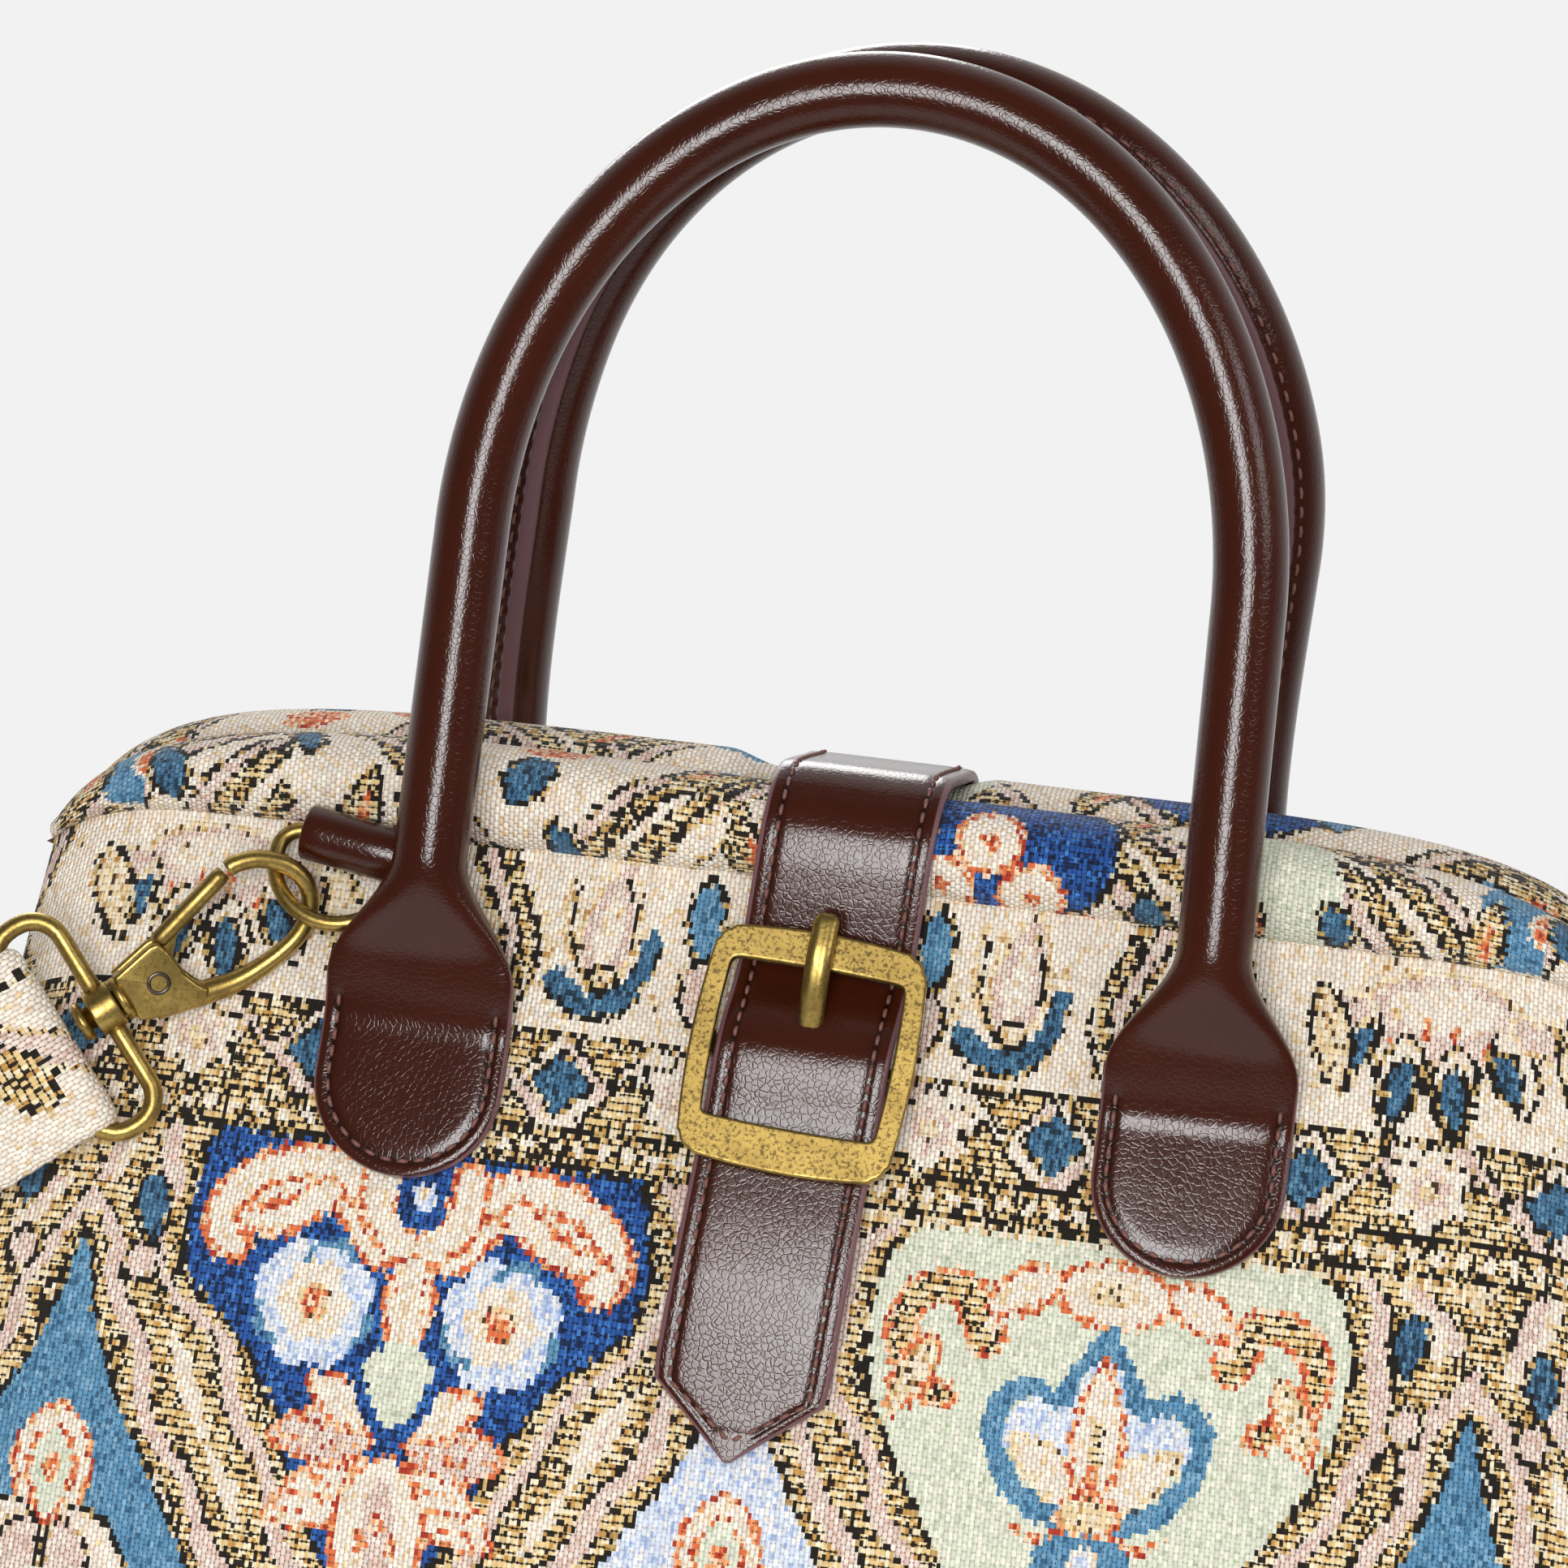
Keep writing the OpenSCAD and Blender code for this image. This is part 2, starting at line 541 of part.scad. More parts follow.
pivot = [6.2, -0.4];
slot_t = 2.2;
stem_end = -8.4;
head_t = 1.5;
collar = [-6.6, -1.7];
nose_line = spline([[11, -6, 0], [18.5, -8.5, 0], [26.5, -8.1, 0], [32, -6.6, 0], [35.8, -3.4, 0],
                    [37.2, 0.6, 0], [36, 4.9, 0], [32.6, 8.5, 0], [29, 10, 0], [26.4, 10.1, 0]], 3);
// The gate's bar, and the circle that its outer corner sweeps about the rivet
gate_d = 3;
gate_tip = [25.9, 9.9];
gate_foot = [12.2, 6.1];
gate_run = gate_tip - gate_foot;
gate_corner = gate_tip + [-gate_run.y, gate_run.x] / norm(gate_run) * gate_d / 2;
gate_sweep = norm(gate_corner - pivot) + 0.2;
module at_pivot() {
    translate([pivot.x, pivot.y, 0]) children();
}
module snap_hook() {
    at_hook() difference() {
        union() {
            translate([0, 0, -hook_t / 2]) linear_extrude(hook_t)
                polygon([[0, -4.7], [4.9, -6.8], [11.6, -8.2], [13.5, -8.4], [13.5, -4.9], [11.6, -3.8],
                         [10.4, -1.5], [10.3, 3.2], [9.6, 6], [8.2, 6.2], [0, 4.6]]);
            wire(nose_line, nose_d, [0, 0, 1], 12);
            rotate([0, -90, 0]) cylinder(h = -stem_end, d = stem_d);
            rotate([0, -90, 0]) cylinder(h = 1.4, d = stem_d + 4);
            translate([stem_end, 0, 0]) rotate([0, 90, 0]) cylinder(h = head_t, d = stem_d + 3);
        }
        translate([1.4, -3.2, -slot_t / 2]) cube([14, 16, slot_t]);
        intersection() {
            at_pivot() cylinder(h = hook_t, r = gate_sweep, center = true, $fn = 120);
            translate([gate_tip.x - 3, gate_tip.y - 4, -hook_t / 2]) cube([6, 9, hook_t]);
        }
        at_pivot() cylinder(h = 2 * hook_t, d = gate_rivet_d + 2 * pin_gap, center = true);
    }
}
// Gate: a bar from the nose to the body, with a lug in the body's slot round the rivet
module gate() {
    lug_t = slot_t - 0.3;
    lug_r = gate_rivet_d / 2 + 1.4;
    at_hook() difference() {
        union() {
            translate([gate_foot.x, gate_foot.y, 0]) rotate([0, 0, atan2(gate_run.y, gate_run.x)])
                rotate([0, 90, 0]) cylinder(h = norm(gate_run), d = gate_d);
            translate([0, 0, -lug_t / 2]) linear_extrude(lug_t) difference() {
                union() {
                    at_pivot() circle(lug_r);
                    polygon([pivot + [-lug_r, 0], pivot + [lug_r, 0], [14, 5.7], [13.4, 7.9], [11, 7.3]]);
                }
            }
        }
        at_pivot() cylinder(h = 2 * hook_t, d = gate_rivet_d + 2 * pin_gap, center = true);
        at_pivot() translate([0, 0, -0.3]) cylinder(h = slot_t, r = spring_r + 0.35);
    }
}
// Spring: a few turns of fine wire round the rivet, in a pocket of the gate's lug
spring_wire = 0.4;
spring_r = gate_rivet_d / 2 + 0.45;
module gate_spring() {
    turns = 2.2;
    steps = 26;
    line = [for (k = [0 : steps]) let (q = 360 * turns * k / steps)
        [pivot.x + spring_r * cos(q), pivot.y + spring_r * sin(q), 0.05 + 0.75 * k / steps]];
    at_hook() wire(line, spring_wire, [0, 0, 1], 5);
}
module gate_rivet() {
    at_hook() at_pivot() {
        cylinder(h = hook_t + 0.5, d = gate_rivet_d, center = true);
        for (s = [0, 1]) mirror([0, 0, s]) translate([0, 0, hook_t / 2 + 0.05])
            cylinder(h = 0.5, d1 = gate_rivet_d + 2, d2 = gate_rivet_d + 1.2);
    }
}
// Eye: a bent wire loop whose ends sit in a collar that turns on the stem
eye_half = sling_w / 2 + eye_wire / 2 + 0.9;
eye_far = -16.4;
eye_mid = (collar[0] + collar[1]) / 2;
eye_corner = 4.4;
eye_side = [[eye_mid, 3.4], [eye_mid + 0.2, eye_half - eye_corner], [eye_mid - 1.2, eye_half - 1.2],
            [eye_mid - eye_corner, eye_half], [eye_far + eye_corner, eye_half],
            [eye_far + 1.2, eye_half - 1.2], [eye_far, eye_half - eye_corner], [eye_far, 0]];
eye_line = spline(concat([for (p = eye_side) [p.x, p.y, 0]],
                         [for (i = [len(eye_side) - 2 : -1 : 0]) [eye_side[i].x, -eye_side[i].y, 0]]), 2);
module swivel_eye() {
    at_hook(eye_roll) difference() {
        union() {
            translate([collar[0], 0, 0]) rotate([0, 90, 0])
                cylinder(h = collar[1] - collar[0], d = stem_d + 4.2);
            wire(eye_line, eye_wire, [0, 0, 1], 10);
        }
        translate([collar[0] - 4, 0, 0]) rotate([0, 90, 0]) cylinder(h = 12, d = stem_d + 2 * pin_gap);
    }
}

// Shoulder strap: folded round each eye's far bar, then down and round the left end and
// folded once behind the bag. The free points are chosen by hand
fold_r = eye_wire / 2 + 0.4 + sling_t / 2;
layer = sling_t / 2 + 0.25;
fold_line = [[eye_far - 42, 0, -layer], [eye_far - 26, 0, -layer], [eye_far - 12, 0, -layer - 0.3],
             [eye_far - 5, 0, -fold_r + 0.3], [eye_far, 0, -fold_r],
             [eye_far + 0.72 * fold_r, 0, -0.72 * fold_r], [eye_far + fold_r, 0, 0],
             [eye_far + 0.72 * fold_r, 0, 0.72 * fold_r], [eye_far, 0, fold_r],
             [eye_far - 5, 0, fold_r - 0.3], [eye_far - 12, 0, layer + 0.3], [eye_far - 26, 0, layer],
             [eye_far - 42, 0, layer]];
front_end = [for (p = fold_line) eye_to_bag(p)];
back_end = [for (i = [len(front_end) - 1 : -1 : 0]) half_turn(front_end[i])];
free_route = [
    [-178, -47, 107], [-187, -28, 91], [-190, 0, 70], [-187, 30, 50], [-178, 58, 33], [-160, 80, 22],
    [-130, 94, 18.5], [-80, 99, 18.5], [-20, 101, 18.5], [40, 101, 18.5], [84, 103, 18.5], [101, 109, 18.5],
    [106, 119, 18.5], [99, 129, 18.5], [80, 134, 18.5], [30, 136, 18.5], [-20, 137, 18.5], [-42, 142, 18.5],
    [-49, 152, 18.5], [-42, 162, 18.5], [-20, 167, 18.5], [40, 168, 18.5], [100, 164, 19.5], [134, 155, 25],
    [160, 142, 36], [178, 124, 52], [186, 102, 71], [185, 80, 91], [177, 65, 107]
];
sling_path = concat(front_end, spline(concat([front_end[len(front_end) - 1]], free_route, [back_end[0]]), 3),
                    back_end);
sling_line = [for (i = [0 : len(sling_path) - 1])
    if (i == 0 || norm(sling_path[i] - sling_path[i - 1]) > 0.5) sling_path[i]];
// The strap's width lies along the hooks' own width at its ends and upright between
across = eye_to_bag([0, 1, 0]) - eye_to_bag([0, 0, 0]);
sling_run = run(sling_line, len(sling_line) - 1);
fold_run = run(front_end, len(front_end) - 1);
twist_run = 120;
function sling_across(s) =
    let (a = ease((s - fold_run) / twist_run), b = ease((sling_run - fold_run - s) / twist_run))
        s < sling_run / 2 ? mix(across, [0, 0, 1], a) : mix(half_turn(across), [0, 0, 1], b);
module shoulder_strap() {
    color(tapestry) skin([for (i = [0 : len(sling_line) - 1])
        let (t = tangent(sling_line, i), h = sling_across(run(sling_line, i)), e1 = unit(h - t * (h * t)),
             e2 = cross(t, e1), a = e1 * sling_w / 2, b = e2 * sling_t / 2)
            [for (c = [a + b, b - a, -a - b, a - b]) sling_line[i] + c]]);
}

module front_panel() { color(tapestry) panel(); }
module back_panel() { color(tapestry) rotate([0, 0, 180]) panel(); }
module right_gusset() { color(tapestry) gusset(); }
module left_gusset() { color(tapestry) rotate([0, 0, 180]) gusset(); }
module base_panel() { color(tapestry) linear_extrude(base_t) polygon(base_outline(0)); }
module base_board() {
    color(board) translate([0, 0, base_t + sewn_gap]) linear_extrude(board_t)
        polygon(base_outline(wall + 3));
}
module front_casing() {
    color(tapestry) difference() {
        casing();
        bow_strip(bow_half, sewn_gap);
    }
}
module back_casing() {
    color(tapestry) rotate([0, 0, 180]) difference() {
        casing();
        bow_strip(back_bow_half, sewn_gap);
    }
}
module front_bow() { color(steel) bow(bow_half); }
module back_bow() { color(steel) rotate([0, 0, 180]) bow(back_bow_half); }
module hinge_rivets() {
    head_h = 1.2;
    inner = bow_half - ear_t - 0.1;
    outer = back_bow_half + 0.1;
    color(steel) for (side = [-1, 1]) translate([0, 0, hinge_z]) rotate([0, 90 * side, 0]) {
        translate([0, 0, inner - head_h]) cylinder(h = outer - inner + 2 * head_h, d = rivet_d);
        translate([0, 0, inner - head_h]) cylinder(h = head_h, d = rivet_d + 3);
        translate([0, 0, outer]) cylinder(h = head_h, d = rivet_d + 3);
    }
}
module front_handle() { color(leather) handle(); }
module back_handle() { color(leather) rotate([0, 0, 180]) handle(); }
module front_ring_loop() { color(leather) ring_loop(); }
module back_ring_loop() { color(leather) rotate([0, 0, 180]) ring_loop(); }
module front_ring() { color(brass) d_ring(); }
module back_ring() { color(brass) rotate([0, 0, 180]) d_ring(); }
module front_hook() { color(brass) snap_hook(); }
module back_hook() { color(brass) rotate([0, 0, 180]) snap_hook(); }
module front_gate() { color(brass) gate(); }
module back_gate() { color(brass) rotate([0, 0, 180]) gate(); }
module front_gate_rivet() { color(brass) gate_rivet(); }
module back_gate_rivet() { color(brass) rotate([0, 0, 180]) gate_rivet(); }
module front_gate_spring() { color(steel) gate_spring(); }
module back_gate_spring() { color(steel) rotate([0, 0, 180]) gate_spring(); }
module front_eye() { color(brass) swivel_eye(); }
module back_eye() { color(brass) rotate([0, 0, 180]) swivel_eye(); }

front_panel();
back_panel();
left_gusset();
right_gusset();
base_panel();
base_board();
front_casing();
back_casing();
front_bow();
back_bow();
hinge_rivets();
front_handle();
back_handle();
closure_strap();
buckle_chape();
buckle_frame();
buckle_prong();
front_ring_loop();
back_ring_loop();
front_ring();
back_ring();
front_hook();
back_hook();
front_gate();
back_gate();
front_gate_rivet();
back_gate_rivet();
front_gate_spring();
back_gate_spring();
front_eye();
back_eye();
shoulder_strap();
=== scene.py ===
"""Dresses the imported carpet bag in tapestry, leather, stitching and antique brass."""

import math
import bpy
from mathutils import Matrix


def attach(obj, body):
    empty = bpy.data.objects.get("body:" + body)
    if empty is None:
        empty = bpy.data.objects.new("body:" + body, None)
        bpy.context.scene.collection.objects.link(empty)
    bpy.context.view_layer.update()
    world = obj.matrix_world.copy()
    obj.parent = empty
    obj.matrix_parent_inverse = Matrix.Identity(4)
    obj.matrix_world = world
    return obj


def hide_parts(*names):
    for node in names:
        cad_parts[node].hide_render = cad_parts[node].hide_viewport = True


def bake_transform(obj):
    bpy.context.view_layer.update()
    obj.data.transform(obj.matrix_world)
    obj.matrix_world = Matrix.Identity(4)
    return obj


bl_info = {
    "name": "Carpet bag",
    "version": (1, 0, 0),
    "blender": (4, 5, 0),
    "location": "View3D > Sidebar > Carpet bag",
    "description": "Builds the dressed pieces of a framed tapestry bag round its packed solids",
    "category": "Object",
}

import bpy
import numpy as np
from mathutils import Matrix, Vector

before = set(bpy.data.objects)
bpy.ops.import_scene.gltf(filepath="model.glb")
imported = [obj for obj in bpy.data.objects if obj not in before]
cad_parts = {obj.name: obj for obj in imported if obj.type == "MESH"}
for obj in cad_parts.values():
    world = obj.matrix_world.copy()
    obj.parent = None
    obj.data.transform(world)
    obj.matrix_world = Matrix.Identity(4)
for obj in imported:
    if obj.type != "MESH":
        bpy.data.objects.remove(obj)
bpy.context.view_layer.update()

# Millimetres are used for all shapes, and turned to metres where a mesh is made
MM = 0.001

# Sizes of the solids, in millimetres
HALF_FRAME = 143.0
BASE_HALF = 153.0
BASE_DEPTH = 75.0
BODY_H = 203.0
CASING_H = 17.5
CASING_T = 20.0
SHOULDER_DROP = 31.0
SEAM_Z = BODY_H - CASING_H
SEAM_Y = CASING_T - 2
SEAM_DIP = 10.0
BACK_PRESS = 2.2
WALL = 3.0
BASE_WALL = 1.7
TUCK = 6.0
PLEAT = 14.0
GAP = 0.3
PANEL_Z0 = 3.2
END_Y = 10.0
CORNER_Y = BASE_DEPTH - 10
HANDLE_D = 13.0
HANDLE_SPAN = 137.0
HANDLE_RISE = 123.0
HANDLE_LEAN = 24.0
TAB_W = 33.5
TAB_L = 61.0
TAB_T = 3.2
TAB_DROP = 52.5
SEWN_L = 30.0
NECK_N = 16.0
STRAP_W = 30.5
STRAP_T = 2.6
STRAP_REACH = 102.0
STRAP_POINT = 12.5
STRAP_SKEW = 0.055
CHAPE_T = 1.3
CHAPE_L = 42.0
BUCKLE_H = 43.0
BUCKLE_W = 39.5
BUCKLE_T = 3.0
BAR_D = 2.6
PRONG_W = 4.6
PRONG_T = 3.0
RING_WIRE = 2.8
RING_W = 19.8
LOOP_D = 9.8
LOOP_W = 15.0
NOSE_D = 3.2
HOOK_T = 5.4
STEM_D = 4.2
EYE_WIRE = 3.3
SLING_W = 35.5
SLING_T = 3.0
# Points round a leather section
LEATHER_SIDES = 96


def length_setting(name, description, default, low, high):
    return bpy.props.FloatProperty(
        name=name, description=description, default=default, min=low, max=high, unit="LENGTH")


def colour_setting(name, description, default):
    return bpy.props.FloatVectorProperty(
        name=name, description=description, default=default, min=0, max=1, subtype="COLOR", size=3)


class BagSizes(bpy.types.PropertyGroup):
    """Sizes of the weave and of the stitching"""

    stitch_w: length_setting("Weave width", "Width of one raised stitch of the tapestry",
                             0.00086, 0.0005, 0.003)
    stitch_h: length_setting("Weave height", "Height of one raised stitch of the tapestry",
                             0.0015, 0.0008, 0.005)
    colour_w: length_setting(
        "Colour step across", "Distance across the cloth from one yarn colour to the next",
        0.00068, 0.0005, 0.003)
    colour_h: length_setting("Colour step down", "Distance down the cloth from one yarn colour to the next",
                             0.00105, 0.0008, 0.005)
    thread_pitch: length_setting("Stitch spacing", "Distance from one sewn stitch to the next on the leather",
                                 0.0030, 0.002, 0.008)
    thread_d: length_setting("Thread", "Diameter of the sewing thread", 0.00078, 0.0003, 0.0015)


class BagColours(bpy.types.PropertyGroup):
    """Colours of the leather, the metal and the thread"""

    leather: colour_setting("Leather", "Colour of the smooth leather", (0.043, 0.0072, 0.0024))
    edge_paint: colour_setting("Edge paint", "Colour of the painted leather edges", (0.16, 0.075, 0.085))
    thread: colour_setting("Thread", "Colour of the sewing thread", (0.17, 0.07, 0.055))
    brass: colour_setting("Antique brass", "Colour of the rubbed metal", (0.55, 0.38, 0.11))
    tarnish: colour_setting("Tarnish", "Colour of the dark film in the metal's low places",
                            (0.12, 0.08, 0.03))
    backdrop: colour_setting("Backdrop", "Colour of the floor and the space behind", (0.887, 0.887, 0.887))


# Small tools for shapes


def unit(v):
    """Unit vectors along the last axis."""
    v = np.asarray(v, float)
    return v / np.maximum(np.linalg.norm(v, axis=-1, keepdims=True), 1e-9)


def mix(a, b, t):
    return a + (b - a) * t


def ease(t):
    t = np.clip(t, 0, 1)
    return t * t * (3 - 2 * t)


def spow(c, n):
    return np.sign(c) * np.abs(c) ** (2 / n)


def turn(axis, degrees):
    """3x3 rotation matrix."""
    return np.array(Matrix.Rotation(math.radians(degrees), 3, axis))


def spline(points, steps):
    """Smooth curve through the points, with steps between each pair."""
    p = np.asarray(points, float)
    n = len(p)
    out = []
    for i in range(n - 1):
        p0, p1, p2, p3 = p[max(0, i - 1)], p[i], p[i + 1], p[min(n - 1, i + 2)]
        for k in range(steps):
            t = k / steps
            out.append(0.5 * (2 * p1 + (p2 - p0) * t + (2 * p0 - 5 * p1 + 4 * p2 - p3) * t * t
                              + (3 * p1 - p0 - 3 * p2 + p3) * t ** 3))
    out.append(p[-1])
    return np.array(out)


def lengths(points):
    """Running length along a path."""
    steps = np.linalg.norm(np.diff(points, axis=0), axis=1)
    return np.concatenate([[0], np.cumsum(steps)])


def resample(points, count):
    """Path with count points at equal distances."""
    s = lengths(points)
    t = np.linspace(0, s[-1], count)
    return np.stack([np.interp(t, s, points[:, k]) for k in range(points.shape[1])], 1)


def tangents(path, closed=False):
    if closed:
        return unit(np.roll(path, -1, 0) - np.roll(path, 1, 0))
    t = np.empty_like(path)
    t[1:-1] = path[2:] - path[:-2]
    t[0] = path[1] - path[0]
    t[-1] = path[-1] - path[-2]
    return unit(t)


def wave(x, seed, count=5, low=0.04, high=0.2):
    """Soft random wave between about -1 and 1, the same in each run."""
    draw = np.random.default_rng(seed)
    total = np.zeros_like(np.asarray(x, float))
    for _ in range(count):
        total = total + np.sin(np.asarray(x) * draw.uniform(low, high) + draw.uniform(0, 6.28))
    return total / math.sqrt(count * 2)


def signed_volume(points, faces):
    """Six times the volume inside the faces; its sign says which way they point."""
    points = np.asarray(points, float)
    total = 0.0
    sizes = np.array([len(f) for f in faces])
    for n in np.unique(sizes):
        same = np.array([f for f in faces if len(f) == n])
        a = points[same[:, 0]]
        for k in range(1, n - 1):
            total += np.einsum("ij,ij->", a, np.cross(points[same[:, k]], points[same[:, k + 1]]))
    return total


def facing_out(points, faces):
    """Faces, turned over where they point inwards."""
    if signed_volume(points, faces) < 0:
        return [tuple(reversed(f)) for f in faces]
    return faces


def make_object(name, points, faces, outward=True):
    """Smooth object from points in millimetres, with its faces pointing outwards."""
    points = np.asarray(points, float)
    if outward:
        faces = facing_out(points, faces)
    mesh = bpy.data.meshes.new(name)
    mesh.from_pydata((points * MM).tolist(), [], [tuple(int(i) for i in f) for f in faces])
    mesh.update()
    mesh.shade_smooth()
    obj = bpy.data.objects.new(name, mesh)
    bpy.context.scene.collection.objects.link(obj)
    return obj


def tube_faces(m, n, closed=False):
    """Quads of m rings of n points each."""
    j = np.arange(m if closed else m - 1)[:, None]
    i = np.arange(n)[None, :]
    k = (j + 1) % m
    i2 = (i + 1) % n
    quads = np.stack([j * n + i, j * n + i2, k * n + i2, k * n + i], -1)
    return [tuple(q) for q in quads.reshape(-1, 4)]


def tube(rings, closed=False):
    """Points and faces of a solid through rings of points."""
    rings = np.asarray(rings, float)
    m, n = rings.shape[:2]
    faces = tube_faces(m, n, closed)
    if not closed:
        faces.append(tuple(range(n - 1, -1, -1)))
        faces.append(tuple(range((m - 1) * n, m * n)))
    return rings.reshape(-1, 3), faces


def join_parts(parts):
    """One point list and face list from several."""
    points = []
    faces = []
    at = 0
    for p, f in parts:
        p = np.asarray(p, float)
        points.append(p)
        faces += [tuple(i + at for i in q) for q in facing_out(p, f)]
        at += len(p)
    return np.concatenate(points), faces


def wire(path, d, reference, sides=20, closed=False):
    """Round wire of diameter d along a path."""
    path = np.asarray(path, float)
    t = tangents(path, closed)
    e1 = unit(np.cross(np.asarray(reference, float), t))
    e2 = np.cross(t, e1)
    q = np.linspace(0, 2 * np.pi, sides, endpoint=False)
    d = np.broadcast_to(np.asarray(d, float), (len(path),))[:, None, None]
    ring = np.cos(q)[None, :, None] * e1[:, None] + np.sin(q)[None, :, None] * e2[:, None]
    return tube(path[:, None] + d / 2 * ring, closed)


def lathe(profile, sides=40):
    """Solid of (radius, height) pairs about Z, from bottom to top."""
    q = np.linspace(0, 2 * np.pi, sides, endpoint=False)
    rings = [np.stack([r * np.cos(q), r * np.sin(q), np.full(sides, z)], 1) for r, z in profile]
    return tube(rings)


def collar(profile, sides=44):
    """Hollow ring of (radius, place) pairs about X, closed on itself."""
    q = np.linspace(0, 2 * np.pi, sides, endpoint=False)
    rings = [np.stack([np.full(sides, x), r * np.cos(q), r * np.sin(q)], 1) for r, x in profile]
    return tube(rings, closed=True)


def section_angles(sides):
    """Even angles round a section, with none on its axes."""
    return (np.arange(sides) + 0.5) * 2 * np.pi / sides


def place(part, matrix, shift):
    """Part turned and moved."""
    points, faces = part
    return np.asarray(points) @ np.asarray(matrix).T + np.asarray(shift, float), faces


def set_values(obj, name, values):
    """One number for each point of a piece."""
    layer = obj.data.attributes.new(name, "FLOAT", "POINT")
    layer.data.foreach_set("value", np.asarray(values, np.float32).ravel())


def points_of(obj):
    """Points of a piece, in metres."""
    co = np.zeros(len(obj.data.vertices) * 3)
    obj.data.vertices.foreach_get("co", co)
    return co.reshape(-1, 3)


def corners_of(obj):
    """Index of the point at each face corner."""
    index = np.zeros(len(obj.data.loops), int)
    obj.data.loops.foreach_get("vertex_index", index)
    return index


def half_turned(obj, name):
    """Copy of a piece turned half round, as it stands on the bag's other side."""
    twin = obj.copy()
    twin.data = obj.data.copy()
    twin.name = name
    twin.data.name = name
    twin.data.transform(Matrix.Rotation(math.pi, 4, "Z"))
    bpy.context.scene.collection.objects.link(twin)
    return twin


def finish_piece(obj, body, material, nodes=()):
    """Gives a piece its finish, its body and the solids it stands for."""
    obj.data.materials.clear()
    obj.data.materials.append(material)
    if body:
        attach(obj, body)
    if nodes:
        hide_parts(*nodes)


def finish_pair(front, back, material, kind=None, body="bag"):
    """Finishes a front piece and its twin; with no body, each rides on its own side's body of that kind."""
    for obj, side in ((front, "front"), (back, "back")):
        nodes = [f"{side}_{kind}"] if kind else ()
        finish_piece(obj, body or f"{side}_{kind}", material, nodes)


# The bag's own surfaces


def seam_at(x):
    return SEAM_Z - SEAM_DIP * np.minimum(1, np.abs(x) / HALF_FRAME) ** 16


def top_at(x):
    fall = np.sqrt(np.maximum(0, 1 - np.minimum(1, np.abs(x) / HALF_FRAME) ** 6))
    return BODY_H - SHOULDER_DROP * (1 - fall)


def tuck(v):
    return TUCK * (1 - np.clip(v / 0.07, 0, 1)) ** 2


def rise(v):
    return np.sin(np.pi / 2 * (1 - v))


def half_len(v):
    return mix(HALF_FRAME - 1, BASE_HALF, rise(v)) - tuck(v)


def mid_depth(v):
    return mix(SEAM_Y, BASE_DEPTH, rise(v)) - tuck(v)


def end_depth(v):
    return mix(END_Y, CORNER_Y, rise(v)) - tuck(v)


def depth_at(z):
    return mid_depth((z - PANEL_Z0) / (SEAM_Z - GAP - PANEL_Z0))


LEAN = math.degrees(math.atan((mid_depth(0.85) - mid_depth(0.9)) / (0.05 * (SEAM_Z - PANEL_Z0))))
COS_LEAN = math.cos(math.radians(LEAN))
SIN_LEAN = math.sin(math.radians(LEAN))


def panel_frame(z):
    """Matrix and place of the frame on the front panel: X along the bag, Y inwards, Z up the slope."""
    return turn("X", -LEAN), np.array([0, -depth_at(z), z])


def to_bag(points, z):
    m, s = panel_frame(z)
    return np.asarray(points, float) @ m.T + s


# Tapestry: codes of the yarns, and the shapes of a rug pattern laid over the cloth

YARNS = ["cream", "blush", "gold", "dark", "blue", "slate", "navy", "mint", "lilac", "coral", "sand",
         "lining"]
CODE = {name: k for k, name in enumerate(YARNS)}


def from_hex(text):
    """Linear colour from a six-digit code."""
    c = np.array([int(text[k:k + 2], 16) / 255 for k in (0, 2, 4)])
    return np.where(c <= 0.04045, c / 12.92, ((c + 0.055) / 1.055) ** 2.4)


# For each yarn: the colours of its raised stitches with their shares, the colour between them,
# the stitches' cover, and how far they run together in rows
YARN_COLOURS = {
    "cream": ([("FCF2E2", 0.72), ("F7E4CD", 0.2), ("F0D4A6", 0.08)], "CFA27C", 0.92, 0.0),
    "blush": ([("F0DACC", 0.55), ("E5C4B4", 0.25), ("F8EBDD", 0.2)], "8E6454", 0.86, 0.0),
    "gold": ([("E6C78C", 0.4), ("F4E4C0", 0.28), ("C4944E", 0.14), ("2A2017", 0.18)], "1A130D", 0.55, 0.8),
    "sand": ([("EBD1A2", 0.45), ("F6E8CE", 0.4), ("C6985C", 0.08), ("4A3522", 0.07)], "7A5630", 0.85, 0.5),
    "dark": ([("1F1913", 0.74), ("C9A666", 0.14), ("EADBB8", 0.12)], "15110C", 0.85, 0.4),
    "blue": ([("5E94B8", 0.6), ("7DABC9", 0.25), ("3E6D8F", 0.15)], "203447", 0.92, 0.0),
    "slate": ([("437092", 0.6), ("5F8FAE", 0.2), ("243F54", 0.2)], "101A25", 0.86, 0.0),
    "navy": ([("2655A0", 0.55), ("3F78C2", 0.2), ("132A54", 0.25)], "04070D", 0.66, 0.4),
    "mint": ([("E3E6CF", 0.75), ("F2EEDB", 0.17), ("CCD3B7", 0.08)], "A6AF92", 0.86, 0.3),
    "lilac": ([("DDE5F2", 0.6), ("F6F2EC", 0.25), ("AFC2E6", 0.15)], "8FA3CC", 0.86, 0.3),
    "coral": ([("DF7243", 0.34), ("F0A870", 0.24), ("F6D8B8", 0.24), ("B23A26", 0.18)], "6A2414", 0.78, 0.6),
    "lining": ([("6B5540", 1.0)], "5A4634", 0.9, 0.0),
}


